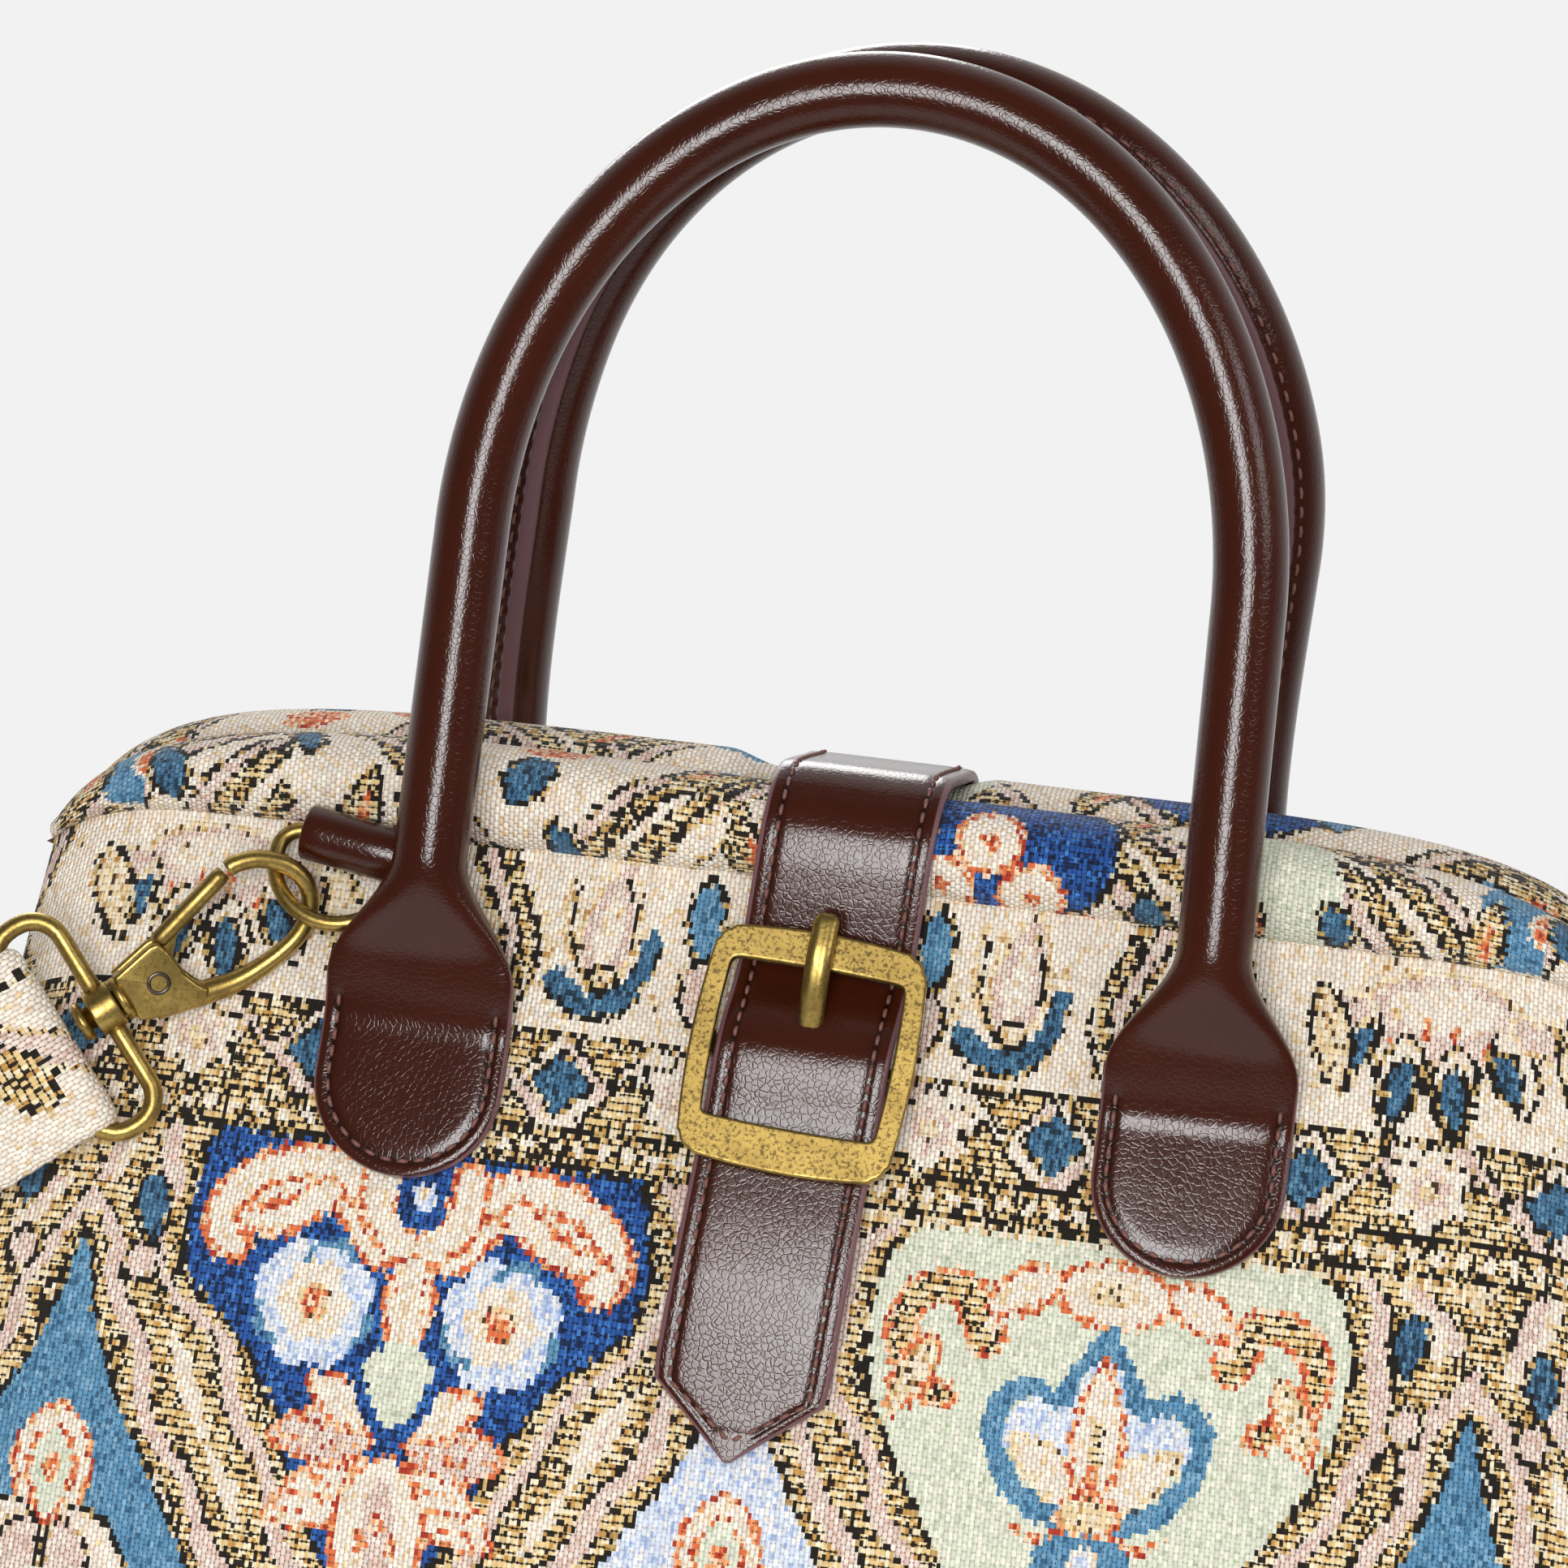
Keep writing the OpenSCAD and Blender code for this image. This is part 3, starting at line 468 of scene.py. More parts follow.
def yarn_fields(codes, seed):
    """Colours of the raised stitches and of the ground; alpha holds their cover and their run in rows."""
    draw = np.random.default_rng(seed)
    shape = codes.shape
    pick = draw.random(shape)
    shade = draw.normal(1, 0.05, shape)[..., None]
    thread = np.zeros(shape + (4,))
    ground = np.zeros(shape + (4,))
    for name, k in CODE.items():
        here = codes == k
        if not here.any():
            continue
        colours, between, cover, in_row = YARN_COLOURS[name]
        edges = np.cumsum([share for _, share in colours])
        index = np.minimum(np.searchsorted(edges, pick[here]), len(colours) - 1)
        table = np.array([from_hex(c) for c, _ in colours])
        thread[here, :3] = table[index]
        thread[here, 3] = cover
        ground[here, :3] = from_hex(between)
        ground[here, 3] = in_row
    thread[..., :3] = np.clip(thread[..., :3] * shade, 0, 1)
    return thread, ground


def about(ca, cb, steps, hand=1):
    """Points at steps from a place on the cloth; a hand of -1 mirrors them."""
    return [(ca + da * hand, cb + db) for da, db in steps]


class Cloth:
    """Yarn codes at points (a, b) of the flat cloth, in millimetres, b down from the seam."""

    # How far the yarns stray from the drawing, across and down
    STRAY = (0.45, 0.55)
    # How far an outline stands out at a leaf's root, along it and across it
    LEAF_ROOT = 0.8
    LEAF_RIM = (2.2, 2.5)
    SPOT_RIM = (1.2, 1.3)
    LINE_RIM = 2.2

    def __init__(self, a, b, ground="cream"):
        draw = np.random.default_rng(7)
        self.a = np.asarray(a, float) + draw.uniform(-self.STRAY[0], self.STRAY[0], np.shape(a))
        self.b = np.asarray(b, float) + draw.uniform(-self.STRAY[1], self.STRAY[1], np.shape(b))
        self.codes = np.full(self.a.shape, CODE[ground])

    def fill(self, yarn, mask):
        self.codes[mask] = CODE[yarn]

    def ellipse(self, ca, cb, ra, rb, degrees=0.0):
        c, s = math.cos(math.radians(degrees)), math.sin(math.radians(degrees))
        da, db = self.a - ca, self.b - cb
        return ((da * c + db * s) / ra) ** 2 + ((db * c - da * s) / rb) ** 2 < 1

    def petal(self, ca, cb, degrees, length, width, power=0.8):
        """Leaf from its root at (ca, cb); 0 degrees points down the cloth."""
        c, s = math.cos(math.radians(degrees)), math.sin(math.radians(degrees))
        da, db = self.a - ca, self.b - cb
        along = (db * c + da * s) / length
        across = np.abs(da * c - db * s)
        inside = (along > 0) & (along < 1)
        return inside & (across < width / 2 * np.sin(np.pi * np.clip(along, 0, 1) ** 0.8) ** power)

    def path(self, points, width, taper=0.0):
        """Band along a smooth line; taper narrows it towards its end."""
        line = spline(points, 5)
        n = len(line) - 1
        low, high = line.min(0) - width, line.max(0) + width
        near = (self.a > low[0]) & (self.a < high[0]) & (self.b > low[1]) & (self.b < high[1])
        pa, pb = self.a[near], self.b[near]
        best = np.full(pa.shape, 1e9)
        for k in range(n):
            p, q = line[k], line[k + 1]
            d = q - p
            t = np.clip(((pa - p[0]) * d[0] + (pb - p[1]) * d[1]) / max(1e-9, float(d @ d)), 0, 1)
            w = width / 2 * (1 - taper * (k + t) / n)
            best = np.minimum(best, np.hypot(pa - p[0] - t * d[0], pb - p[1] - t * d[1]) - w)
        inside = np.zeros(self.a.shape, bool)
        inside[near] = best < 0
        return inside

    def leaf(self, yarn, outline, ca, cb, degrees, length, width):
        if outline:
            q = math.radians(degrees)
            root = ca - self.LEAF_ROOT * math.sin(q), cb - self.LEAF_ROOT * math.cos(q)
            size = length + self.LEAF_RIM[0], width + self.LEAF_RIM[1]
            self.fill(outline, self.petal(*root, degrees, *size))
        self.fill(yarn, self.petal(ca, cb, degrees, length, width))

    def spot(self, yarn, outline, ca, cb, ra, rb, degrees=0.0):
        if outline:
            self.fill(outline, self.ellipse(ca, cb, ra + self.SPOT_RIM[0], rb + self.SPOT_RIM[1], degrees))
        self.fill(yarn, self.ellipse(ca, cb, ra, rb, degrees))

    def line(self, yarn, outline, points, width, taper=0.0):
        if outline:
            self.fill(outline, self.path(points, width + self.LINE_RIM, taper * 0.6))
        self.fill(yarn, self.path(points, width, taper))

    # Motifs of the ivory border

    def bud(self, ca, cb, hand):
        """Two-lobed bud in a blue cup, with fine dark veins."""
        self.leaf("cream", "sand", ca + 1.5 * hand, cb + 6, 180 + 22 * hand, 20, 9)
        self.leaf("blush", "sand", ca - 0.5 * hand, cb + 7, 180 - 8 * hand, 23, 9)
        self.fill("cream", self.petal(ca - 0.5 * hand, cb + 4, 180 - 8 * hand, 15, 4.6))
        self.line("dark", None, about(ca, cb, [(-5.6, -10), (-6, -3), (-3.5, 5)], hand), 1.0)
        self.line("dark", None, about(ca, cb, [(3, -12), (5, -6), (4.6, 0)], hand), 1.0)
        self.line("sand", None, about(ca, cb, [(-13, -9), (-10, 0), (-9, 9)], hand), 1.6)
        cup = about(ca, cb, [(-7.5, 6.5), (-2.5, 10), (3, 9.5), (7, 4), (8.5, -2.5)], hand)
        self.fill("dark", self.path([(p, q + 0.9) for p, q in cup], 5.0, 0.3))
        self.line("slate", None, cup, 4.2, 0.35)
        self.spot("sand", "dark", ca + 0.6 * hand, cb + 5.6, 1.8, 1.6)

    def lotus(self, ca, cb):
        """Open flower with a row of hanging blue drops."""
        self.spot("blush", "sand", ca, cb - 6, 13.5, 7.5)
        self.fill("cream", self.ellipse(ca, cb - 7.5, 9.5, 4.5))
        for da in (-8, -2.6, 2.6, 8):
            self.fill("coral", self.ellipse(ca + da, cb - 4.4 + 0.06 * da * da, 0.7, 2.0))
        for da, db, deg, size in ((-12, -5, -26, 12), (-5, 0, -8, 13.5), (3, 1, 5, 13.5), (10.5, -3, 24, 12)):
            self.leaf("cream", "dark", ca + da, cb + db - 2, deg, size + 3, 7)
            self.leaf("slate", "dark", ca + da, cb + db + 1.5, deg, size - 2, 4)
        for da, deg in ((-15, -70), (15, 70)):
            self.leaf("blush", "sand", ca + da * 0.8, cb - 7, deg, 12, 5)

    def tall_leaf(self, ca, cb, hand):
        """Upright leaf with fine ribs."""
        spine = about(ca, cb, [(-4, -15), (-0.5, -7), (2, 0), (0.6, 8), (-3, 14)], hand)
        self.line("gold", None, spine, 8.5, 0.4)
        self.line("blush", "dark", [(p - 0.6 * hand, q + 1) for p, q in spine[:4]], 2.4, 0.4)
        self.line("dark", None, [(p + 4.2 * hand, q + 1) for p, q in spine], 1.0)

    # Motifs of the field

    def daisy(self, ca, cb, r):
        """Round flower: two rings of petals about a coral eye."""
        for k in range(8):
            q = math.radians(45 * k + 20)
            at = ca + 0.62 * r * math.cos(q), cb + 0.68 * r * math.sin(q)
            self.fill("blue" if k % 3 == 0 else "lilac", self.ellipse(*at, 0.45 * r, 0.45 * r))
            at = ca + 0.55 * r * math.cos(q), cb + 0.6 * r * math.sin(q)
            self.fill("lilac", self.ellipse(*at, 0.36 * r, 0.38 * r))
        for k in range(6):
            q = math.radians(60 * k)
            at = ca + 0.4 * r * math.cos(q), cb + 0.46 * r * math.sin(q)
            self.fill("cream", self.ellipse(*at, 0.26 * r, 0.27 * r))
        for yarn, ra, rb in (("cream", 0.44, 0.5), ("sand", 0.3, 0.34), ("coral", 0.22, 0.27)):
            self.fill(yarn, self.ellipse(ca, cb, ra * r, rb * r))

    def garland(self, ca, cb, yarn, outline, inner):
        """Pair of scrolling leaves that meet at a cup in the middle."""
        for hand in (-1, 1):
            spine = about(ca, cb, [(6, 5), (11, -1), (19, -4.5), (28, -2), (34, 4), (33, 9)], hand)
            self.line(yarn, outline, spine, 9.5, 0.4)
            self.line(inner, None, [(p, q + 1.4) for p, q in spine[1:5]], 1.3)
            self.line(yarn, outline, about(ca, cb, [(17, -1), (24, 4.5), (30, 5.5)], hand), 4.5, 0.3)
        self.line(yarn, outline, about(ca, cb, [(-8, -6), (-7, 2), (0, 7.5), (7, 2), (8, -6)]), 5)

    def palmette(self, ca, cb):
        """Fan of wings over a hanging tulip."""
        for hand in (-1, 1):
            self.leaf("cream", "coral", ca + 2 * hand, cb + 4, 58 * hand, 21, 9)
            self.leaf("blush", "coral", ca + 3 * hand, cb - 2, 82 * hand, 18, 9)
            self.leaf("cream", "coral", ca + 2 * hand, cb - 3, 118 * hand, 15, 7)
            wing = self.petal(ca + 2 * hand, cb + 4, 58 * hand, 20, 7)
            wing |= self.petal(ca + 3 * hand, cb - 2, 82 * hand, 17, 7)
            self.fill("coral", wing & ((self.b % 3.1) < 0.9))
        self.leaf("cream", "coral", ca, cb + 2, 0, 31, 15)
        self.leaf("blush", None, ca, cb + 5, 0, 22, 6)
        for da, db, ra, rb in ((0, 14, 1.2, 2.4), (-2.6, 17, 1, 2), (2.6, 17, 1, 2)):
            self.fill("coral", self.ellipse(ca + da, cb + db, ra, rb))
        self.leaf("mint", None, ca, cb - 18, 0, 15, 14)
        self.line("navy", None, about(ca, cb, [(-7.5, -12), (-4, -5), (0, -1.5), (4, -5), (7.5, -12)]), 2.4)

    def tulip_palmette(self, ca, cb):
        """Blue-edged tulip with a spire, two lobes and a small flower below."""
        for hand in (-1, 1):
            lobe = about(ca, cb, [(3, 15), (11, 13), (17, 5), (17.5, -3), (12, -6.5), (7, -3)], hand)
            self.line("blue", None, lobe, 4.2, 0.1)
            self.line("blue", None, about(ca, cb, [(8, -2.5), (5, -8), (0, -17)], hand), 4.4, 0.2)
        for da, db, ra, rb in ((0, 4, 14, 9), (-11, 1, 5, 5.5), (11, 1, 5, 5.5), (0, -5, 4.4, 8)):
            self.fill("lilac", self.ellipse(ca + da, cb + db, ra, rb))
        for hand in (-1, 1):
            self.leaf("cream", "sand", ca + 1.5 * hand, cb + 12, 180 - 52 * hand, 16, 6)
        self.leaf("cream", "coral", ca, cb + 12, 180, 24, 7.5)
        self.fill("gold", self.petal(ca, cb + 9, 180, 12, 2.6))
        self.spot("coral", None, ca, cb + 8, 1.4, 2.6)
        self.spot("sand", "coral", ca, cb + 14, 4.6, 3)
        for hand in (-1, 1):
            self.line("coral", None, about(ca, cb, [(4, 17), (9, 19), (13, 17)], hand), 1.2)
            self.leaf("blue", None, ca + 2 * hand, cb + 18, 40 * hand, 11, 6.5)
        self.leaf("blue", None, ca, cb + 17, 0, 15, 9)
        self.fill("cream", self.ellipse(ca, cb + 22, 2.6, 2.8))
        self.fill("lilac", self.ellipse(ca, cb + 22, 1.2, 1.4))


def widths(b, points):
    """Half width of a compartment at each height of the cloth."""
    p = np.asarray(points, float)
    return np.interp(b, p[:, 0], p[:, 1], left=-60, right=-60)


SHIELD = [(52, 36), (58, 39), (70, 41), (80, 39.5), (86, 33), (91, 27), (102, 20), (113, 16), (126, 9),
          (138, 0), (152, -16), (170, -30)]
BASIN = [(55, 34), (60, 39), (70, 41.5), (82, 40), (92, 36.3), (102, 30), (112, 24), (122, 18), (134, 9),
         (146, -4), (170, -30)]
SPIRE = [(66, -10), (77, 0.6), (88, 3.2), (96, 6), (104, 10), (112, 15), (122, 21), (134, 28), (150, 35),
         (200, 38), (260, 38)]
# Bands round the medallions, from their edge outwards
BANDS = [(-99, "cream"), (0, "dark"), (1.2, "gold"), (4.2, "blush"), (7.6, "dark"), (8.5, "gold"),
         (13, "cream"), (15.6, "blush"), (18, "dark"), (18.8, "gold"), (23, "sand")]
# Medallions of the field: middle along the cloth, outline and ground
MEDALLIONS = [(-63, SHIELD, "navy"), (58.5, BASIN, "mint"), (-3.5, SPIRE, "lilac"), (-122, SPIRE, "blue"),
              (121, SPIRE, "blue"), (184, SHIELD, "navy"), (-188.5, BASIN, "mint")]
# Heights at which the pattern's strips start and end, down from the seam
BORDER_END = 29.5
GUARD_TOP = 30.9
GUARD_MID = 38.6
GUARD_END = 46.0
BEADS_TOP = 47.2
BEADS_END = 52.8
FIELD_TOP = 53.0
HEM_TOP = 168.0
HEM_EDGE = 170.0
# Repeat of the guard's diamonds, and the place of the first
GUARD_STEP = 43.4
GUARD_START = 42.4


def field_grounds(c):
    """Medallions of plain colour, with bands that follow the nearest one's edge."""
    a, b = c.a, c.b
    field = b > FIELD_TOP
    near = np.full(a.shape, 1e9)
    for ca, shape, _ in MEDALLIONS:
        near = np.minimum(near, np.abs(a - ca) - widths(b, shape))
    drift = near + 1.1 * np.sin(a / 3.7 + b / 6.1) + 0.9 * np.sin(b / 3.3 - a / 8.0)
    for low, yarn in BANDS:
        c.fill(yarn, field & (np.where(near < 1.2, near, drift) >= low))
    for ca, shape, yarn in MEDALLIONS:
        c.fill(yarn, field & (np.abs(a - ca) < widths(b, shape)))


def navy_medallion(c, ca):
    """Hanging flowers, a garland and a palmette on navy."""
    for hand in (-1, 1):
        c.daisy(ca + 16.6 * hand, 82, 10.4)
    c.garland(ca, 64, "cream", "coral", "coral")
    c.fill("navy", c.ellipse(ca, 63.5, 4.4, 4.2))
    c.fill("lilac", c.ellipse(ca, 61.6, 2.2, 2.6))
    c.fill("cream", c.ellipse(ca, 60.6, 1, 1.4))
    c.leaf("cream", "coral", ca, 72, 0, 18, 7.5)
    c.fill("coral", c.petal(ca, 73, 0, 16, 9) & ((c.b % 2.7) < 0.9) & (np.abs(c.a - ca) > 2.2))
    c.palmette(ca, 105)


def mint_medallion(c, ca):
    """Gold scrolls and a blue-edged tulip on mint."""
    for hand in (-1, 1):
        scroll = about(ca, 0, [(21, 73), (25, 66), (32, 66), (36, 73), (33, 81), (27, 84)], hand)
        c.line("gold", "coral", scroll, 5.2, 0.5)
        c.leaf("sand", "coral", ca + 30 * hand, 74, 24 * hand, 15, 5)
        c.line("coral", "cream", about(ca, 0, [(6, 64), (14, 64.5), (20, 70)], hand), 2.0, 0.5)
        c.leaf("cream", "coral", ca + 10 * hand, 61, 60 * hand, 13, 6)
    c.spot("cream", "coral", ca, 63, 9, 5)
    c.fill("sand", c.ellipse(ca, 62.5, 4.4, 2.4))
    c.tulip_palmette(ca, 87)


def rising_medallion(c, ca):
    """Upright bud over a palmette, with small leaves beside the point."""
    c.leaf("cream", "coral", ca, 106, 0, 24, 13)
    c.leaf("mint", "coral", ca, 110, 0, 16, 7)
    c.fill("coral", c.ellipse(ca, 117, 1.6, 3))
    for hand in (-1, 1):
        c.leaf("cream", "dark", ca + 4 * hand, 124, 46 * hand, 15, 7)
        c.leaf("navy", "gold", ca + 14 * hand, 136, 20 * hand, 16, 8)
        c.leaf("blush", "dark", ca + 3 * hand, 126, 14 * hand, 16, 7)
        c.leaf("slate", "dark", ca + 11 * hand, 62 + 2 * hand, 6 * hand, 11, 5)
        c.spot("blush", "dark", ca + 11 * hand, 79, 2.4, 3)
    c.palmette(ca, 152)


def guards(c):
    """Strips between the border and the field: diamonds and stars, then a row of beads."""
    a, b = c.a, c.b
    c.fill("cream", b < BORDER_END)
    c.fill("dark", (b >= BORDER_END) & (b < GUARD_TOP))
    guard = (b >= GUARD_TOP) & (b < GUARD_END)
    c.fill("cream", guard)
    c.fill("blush", guard & (np.sin(a / 3.1 + 1.3 * np.sin(b / 4)) > 0.1))
    at = (a + GUARD_START + GUARD_STEP / 2) % GUARD_STEP - GUARD_STEP / 2
    mid = (a + GUARD_START) % GUARD_STEP - GUARD_STEP / 2
    steps_low = np.abs(np.abs(at) - 12.5) + 0.9 * np.abs(b - 45.5)
    steps_high = np.abs(np.abs(at) - 8) + 0.9 * np.abs(b - 31.5)
    c.fill("gold", guard & ((steps_low < 8.6) | (steps_high < 6)))
    c.fill("dark", guard & ((np.abs(steps_low - 8.6) < 0.7) | (np.abs(steps_high - 6) < 0.7)))
    diamond = np.abs(at) + np.abs(b - GUARD_MID)
    c.fill("dark", guard & (diamond < 6.6))
    c.fill("slate", guard & (diamond < 5.4))
    star = np.hypot(mid, b - GUARD_MID) * (1 + 0.18 * np.cos(6 * np.arctan2(b - GUARD_MID, mid)))
    for yarn, reach in (("dark", 7.0), ("cream", 6.1), ("blush", 3.4), ("sand", 1.8)):
        c.fill(yarn, guard & (star < reach))
    c.fill("dark", (b >= GUARD_END) & (b < BEADS_TOP))
    beads = (b >= BEADS_TOP) & (b < BEADS_END)
    c.fill("gold", beads)
    c.fill("dark", beads & (np.sin(a * 2.2) * np.sin(b * 2.6) > 0.15))
    c.fill("cream", beads & (np.hypot((a % 4.4) - 2.2, b - 50) < 1.2))
    c.fill("dark", (b >= BEADS_END) & (b < BEADS_END + 1.2))


def border(c):
    """Ivory strip with flowers, buds and tall leaves; it leaves the guards as they are."""
    below = c.codes.copy()
    for ca in (-109, 108):
        c.lotus(ca, 14.5)
    for ca, cb, hand in ((-38.5, 14, 1), (34, 15, 1), (179, 15, -1), (-179, 15, 1)):
        c.bud(ca, cb, hand)
    for ca, hand in ((-56, 1), (-73, -1), (54, -1), (72, 1), (-146, -1), (146, 1)):
        c.tall_leaf(ca, 14, hand)
    for ca in (-21, 19.5):
        c.spot("blue", "dark", ca, 7, 2.6, 6.4)
        c.leaf("blush", "dark", ca, 15, 0, 11, 5)
    for ca in (-88, -130, 87, 130):
        c.leaf("sand", "dark", ca, 5, 16, 19, 5.5)
    flecks = np.sin(c.a / 2.3 + 2 * np.sin(c.b / 5)) * np.sin(c.b / 2.9 + c.a / 9) > 0.93
    c.fill("sand", (c.codes == CODE["cream"]) & flecks)
    outside = c.b >= BORDER_END
    c.codes[outside] = below[outside]


def rug(a, b, shift=0.0):
    """The panels' pattern: an ivory flower border, guards and a field of hanging and rising medallions."""
    c = Cloth(a, b)
    c.a = c.a + shift
    field_grounds(c)
    for shape, draw in ((SHIELD, navy_medallion), (BASIN, mint_medallion), (SPIRE, rising_medallion)):
        for ca, kind, _ in MEDALLIONS:
            if kind is shape:
                draw(c, ca)
    hem = c.b > HEM_TOP
    c.fill("dark", hem & (c.b < HEM_EDGE))
    c.fill("sand", hem & (c.b >= HEM_EDGE))
    c.fill("blue", hem & (np.abs((c.a % 24) - 12) + np.abs(c.b - 178) < 6))
    guards(c)
    border(c)
    return c.codes


def casing_rug(a, b):
    """The casings' pattern: feathered leaves on ivory with small coloured grounds; b rises from the seam."""
    period = 248.0
    c = Cloth((a + period / 2) % period - period / 2, b)
    feather = (("blush", "dark"), ("gold", "dark"), ("cream", "dark"), ("gold", "dark"), ("blush", "dark"))
    for ca, hand in ((-132, 1), (-104, 1), (-72, -1), (-38, 1), (62, -1), (104, -1), (126, 1)):
        for k, (yarn, outline) in enumerate(feather):
            s = k * 4.2
            bend = [(s - 12, -4), (s - 9, 7), (s - 1, 17), (s + 10, 26), (s + 21, 38)]
            c.line(yarn, outline, about(ca, 0, bend, hand), 3.0, 0.3)
    c.spot("cream", None, -88, 14, 9, 15, 20)
    c.leaf("slate", "dark", -58, 16, 30, 13, 7)
    c.leaf("slate", "dark", -118, 6, -20, 12, 6)
    c.spot("coral", "cream", -52, 30, 6, 3.4)
    c.line("cream", "gold", [(-30, 4), (-22, 14), (-12, 20)], 5, 0.3)
    c.spot("navy", "dark", 30, 20, 19, 17)
    for da, db in ((-8, -5), (8, -5), (0, 5)):
        c.spot("cream", "coral", 27 + da, 14 + db, 5, 5.4)
        c.fill("coral", c.ellipse(27 + da, 14 + db, 1.6, 1.8))
    c.leaf("cream", "coral", 42, 6, 150, 15, 6)
    c.leaf("blue", "dark", 12, 14, 0, 17, 9)
    c.spot("mint", None, 80, 16, 8.5, 18, 12)
    c.spot("blue", "cream", 121, 16, 9, 13)
    c.leaf("coral", "cream", 123, 9, 20, 12, 5)
    c.leaf("blue", "dark", -20, 28, 10, 13, 9)
    for ca, cb, turned in ((-86, 3, 14), (-66, 22, -40), (-30, 22, 60), (-14, 4, -14), (50, 24, 30),
                           (74, 4, -20), (92, 26, 50), (112, 2, 12), (-110, 24, 40)):
        c.leaf("gold", "dark", ca, cb, turned, 15, 5.5)
        c.leaf("coral", None, ca + 1, cb + 3, turned, 8, 2.2)
    for ca, cb in ((-96, 24), (-48, 8), (-6, 16), (56, 8), (88, 10), (134, 24)):
        c.spot("slate", "dark", ca, cb, 2.2, 4.2, 20)
    return c.codes


def sling_rug(a, b):
    """The shoulder strap's pattern: ivory with leaves and dark stems along its length b."""
    c = Cloth(a, b % 120.0)
    for cb in (-60, 60, 180):
        c.line("blush", "gold", [(-20, cb - 34), (-6, cb - 14), (8, cb + 6), (20, cb + 22)], 5, 0)
        c.line("dark", None, [(20, cb - 30), (12, cb - 6), (15, cb + 22), (19, cb + 44)], 1.4)
        c.leaf("gold", "dark", -9, cb - 4, 60, 15, 8)
        c.leaf("sand", "dark", 6, cb + 26, -50, 17, 8)
        c.spot("blush", "dark", -4, cb + 46, 6, 8, 20)
        c.leaf("slate", "dark", 7, cb + 44, 10, 12, 5)
    return c.codes


# Cloth pieces


def paint_cloth(obj, thread, ground, domain, cells):
    """Yarn colours and the weave's own map; cells holds one pair for each face corner."""
    mesh = obj.data
    for name, values in (("thread", thread), ("ground", ground)):
        layer = mesh.attributes.new(name, "FLOAT_COLOR", domain)
        layer.data.foreach_set("color", np.asarray(values, np.float32).ravel())
    uv = mesh.uv_layers.new(name="weave")
    uv.data.foreach_set("uv", np.asarray(cells, np.float32).ravel())


def grid_normals(grid):
    du = np.gradient(grid, axis=1)
    dv = np.gradient(grid, axis=0)
    return unit(np.cross(du, dv))


def cloth_shell(name, grid, codes, wall, seed, inward, scale=(1.0, 1.0), step=4):
    """Lined cloth from a grid of outer points: one face for each colour step, and a coarse lining behind."""
    rows, cols = grid.shape[0] - 1, grid.shape[1] - 1
    normals = grid_normals(grid)
    if np.sum(normals * np.asarray(inward, float), axis=-1).mean() < 0:
        normals = -normals
    js = np.array(sorted(set(range(0, rows + 1, step)) | {rows}))
    ks = np.array(sorted(set(range(0, cols + 1, step)) | {cols}))
    inner = (grid + normals * wall)[np.ix_(js, ks)]
    outer_count = (rows + 1) * (cols + 1)
    points = np.concatenate([grid.reshape(-1, 3), inner.reshape(-1, 3)])
    out = np.arange(outer_count).reshape(rows + 1, cols + 1)
    inn = outer_count + np.arange(len(js) * len(ks)).reshape(len(js), len(ks))

    def quads(index, flip):
        corners = [index[:-1, :-1], index[:-1, 1:], index[1:, 1:], index[1:, :-1]]
        return [tuple(q) for q in np.stack(corners[::-1] if flip else corners, -1).reshape(-1, 4)]

    faces = quads(out, False)
    stitch_count = len(faces)
    faces += quads(inn, True)
    for k in range(len(ks) - 1):
        run = slice(ks[k], ks[k + 1] + 1)
        faces.append((*out[0, run][::-1], inn[0, k], inn[0, k + 1]))
        faces.append((*out[rows, run], inn[-1, k + 1], inn[-1, k]))
    for j in range(len(js) - 1):
        run = slice(js[j], js[j + 1] + 1)
        faces.append((*out[run, 0], inn[j + 1, 0], inn[j, 0]))
        faces.append((*out[run, cols][::-1], inn[j, -1], inn[j + 1, -1]))
    obj = make_object(name, points, faces)
    all_codes = np.full(len(faces), CODE["lining"])
    all_codes[:stitch_count] = codes.reshape(-1)
    thread, ground = yarn_fields(all_codes, seed)
    jj, kk = np.mgrid[0:rows + 1, 0:cols + 1]
    jj_in, kk_in = np.meshgrid(js, ks, indexing="ij")
    count_across = np.concatenate([kk.ravel(), kk_in.ravel()])
    count_down = np.concatenate([jj.ravel(), jj_in.ravel()])
    cell = np.stack([count_across, -count_down], 1)
    paint_cloth(obj, thread, ground, "FACE", (cell * scale)[corners_of(obj)])
    return obj


def lay_weave(obj, sizes, first, second):
    """Maps the weave flat along two of the piece's own axes."""
    stitch = np.array([sizes.stitch_w, sizes.stitch_h]) / MM
    flat_map = points_of(obj)[corners_of(obj)][:, [first, second]] / MM / stitch
    obj.data.uv_layers["weave"].data.foreach_set("uv", flat_map.astype(np.float32).ravel())


def weave_scale(sizes):
    """Raised stitches in one colour step, across and down."""
    return sizes.colour_w / sizes.stitch_w, sizes.colour_h / sizes.stitch_h


def cell_middles(values):
    return (values[:-1, :-1] + values[1:, :-1] + values[:-1, 1:] + values[1:, 1:]) / 4


# Slack of the panels below the sewn pieces: its upper end, its fade and its lower fade
SLACK_TOP = 118.0
SLACK_FADE = 50.0
SLACK_FOOT = 25.0
# The panels' top edge rolls in under the casing: steps in and up, and their places on the flat cloth
HEM_ROLL = np.array([[0, 4.2, 0.9], [0, 3.0, 2.0], [0, 1.7, 2.3], [0, 0.6, 1.4]])
HEM_DOWN = [-4.2, -3.2, -2.2, -1.2]


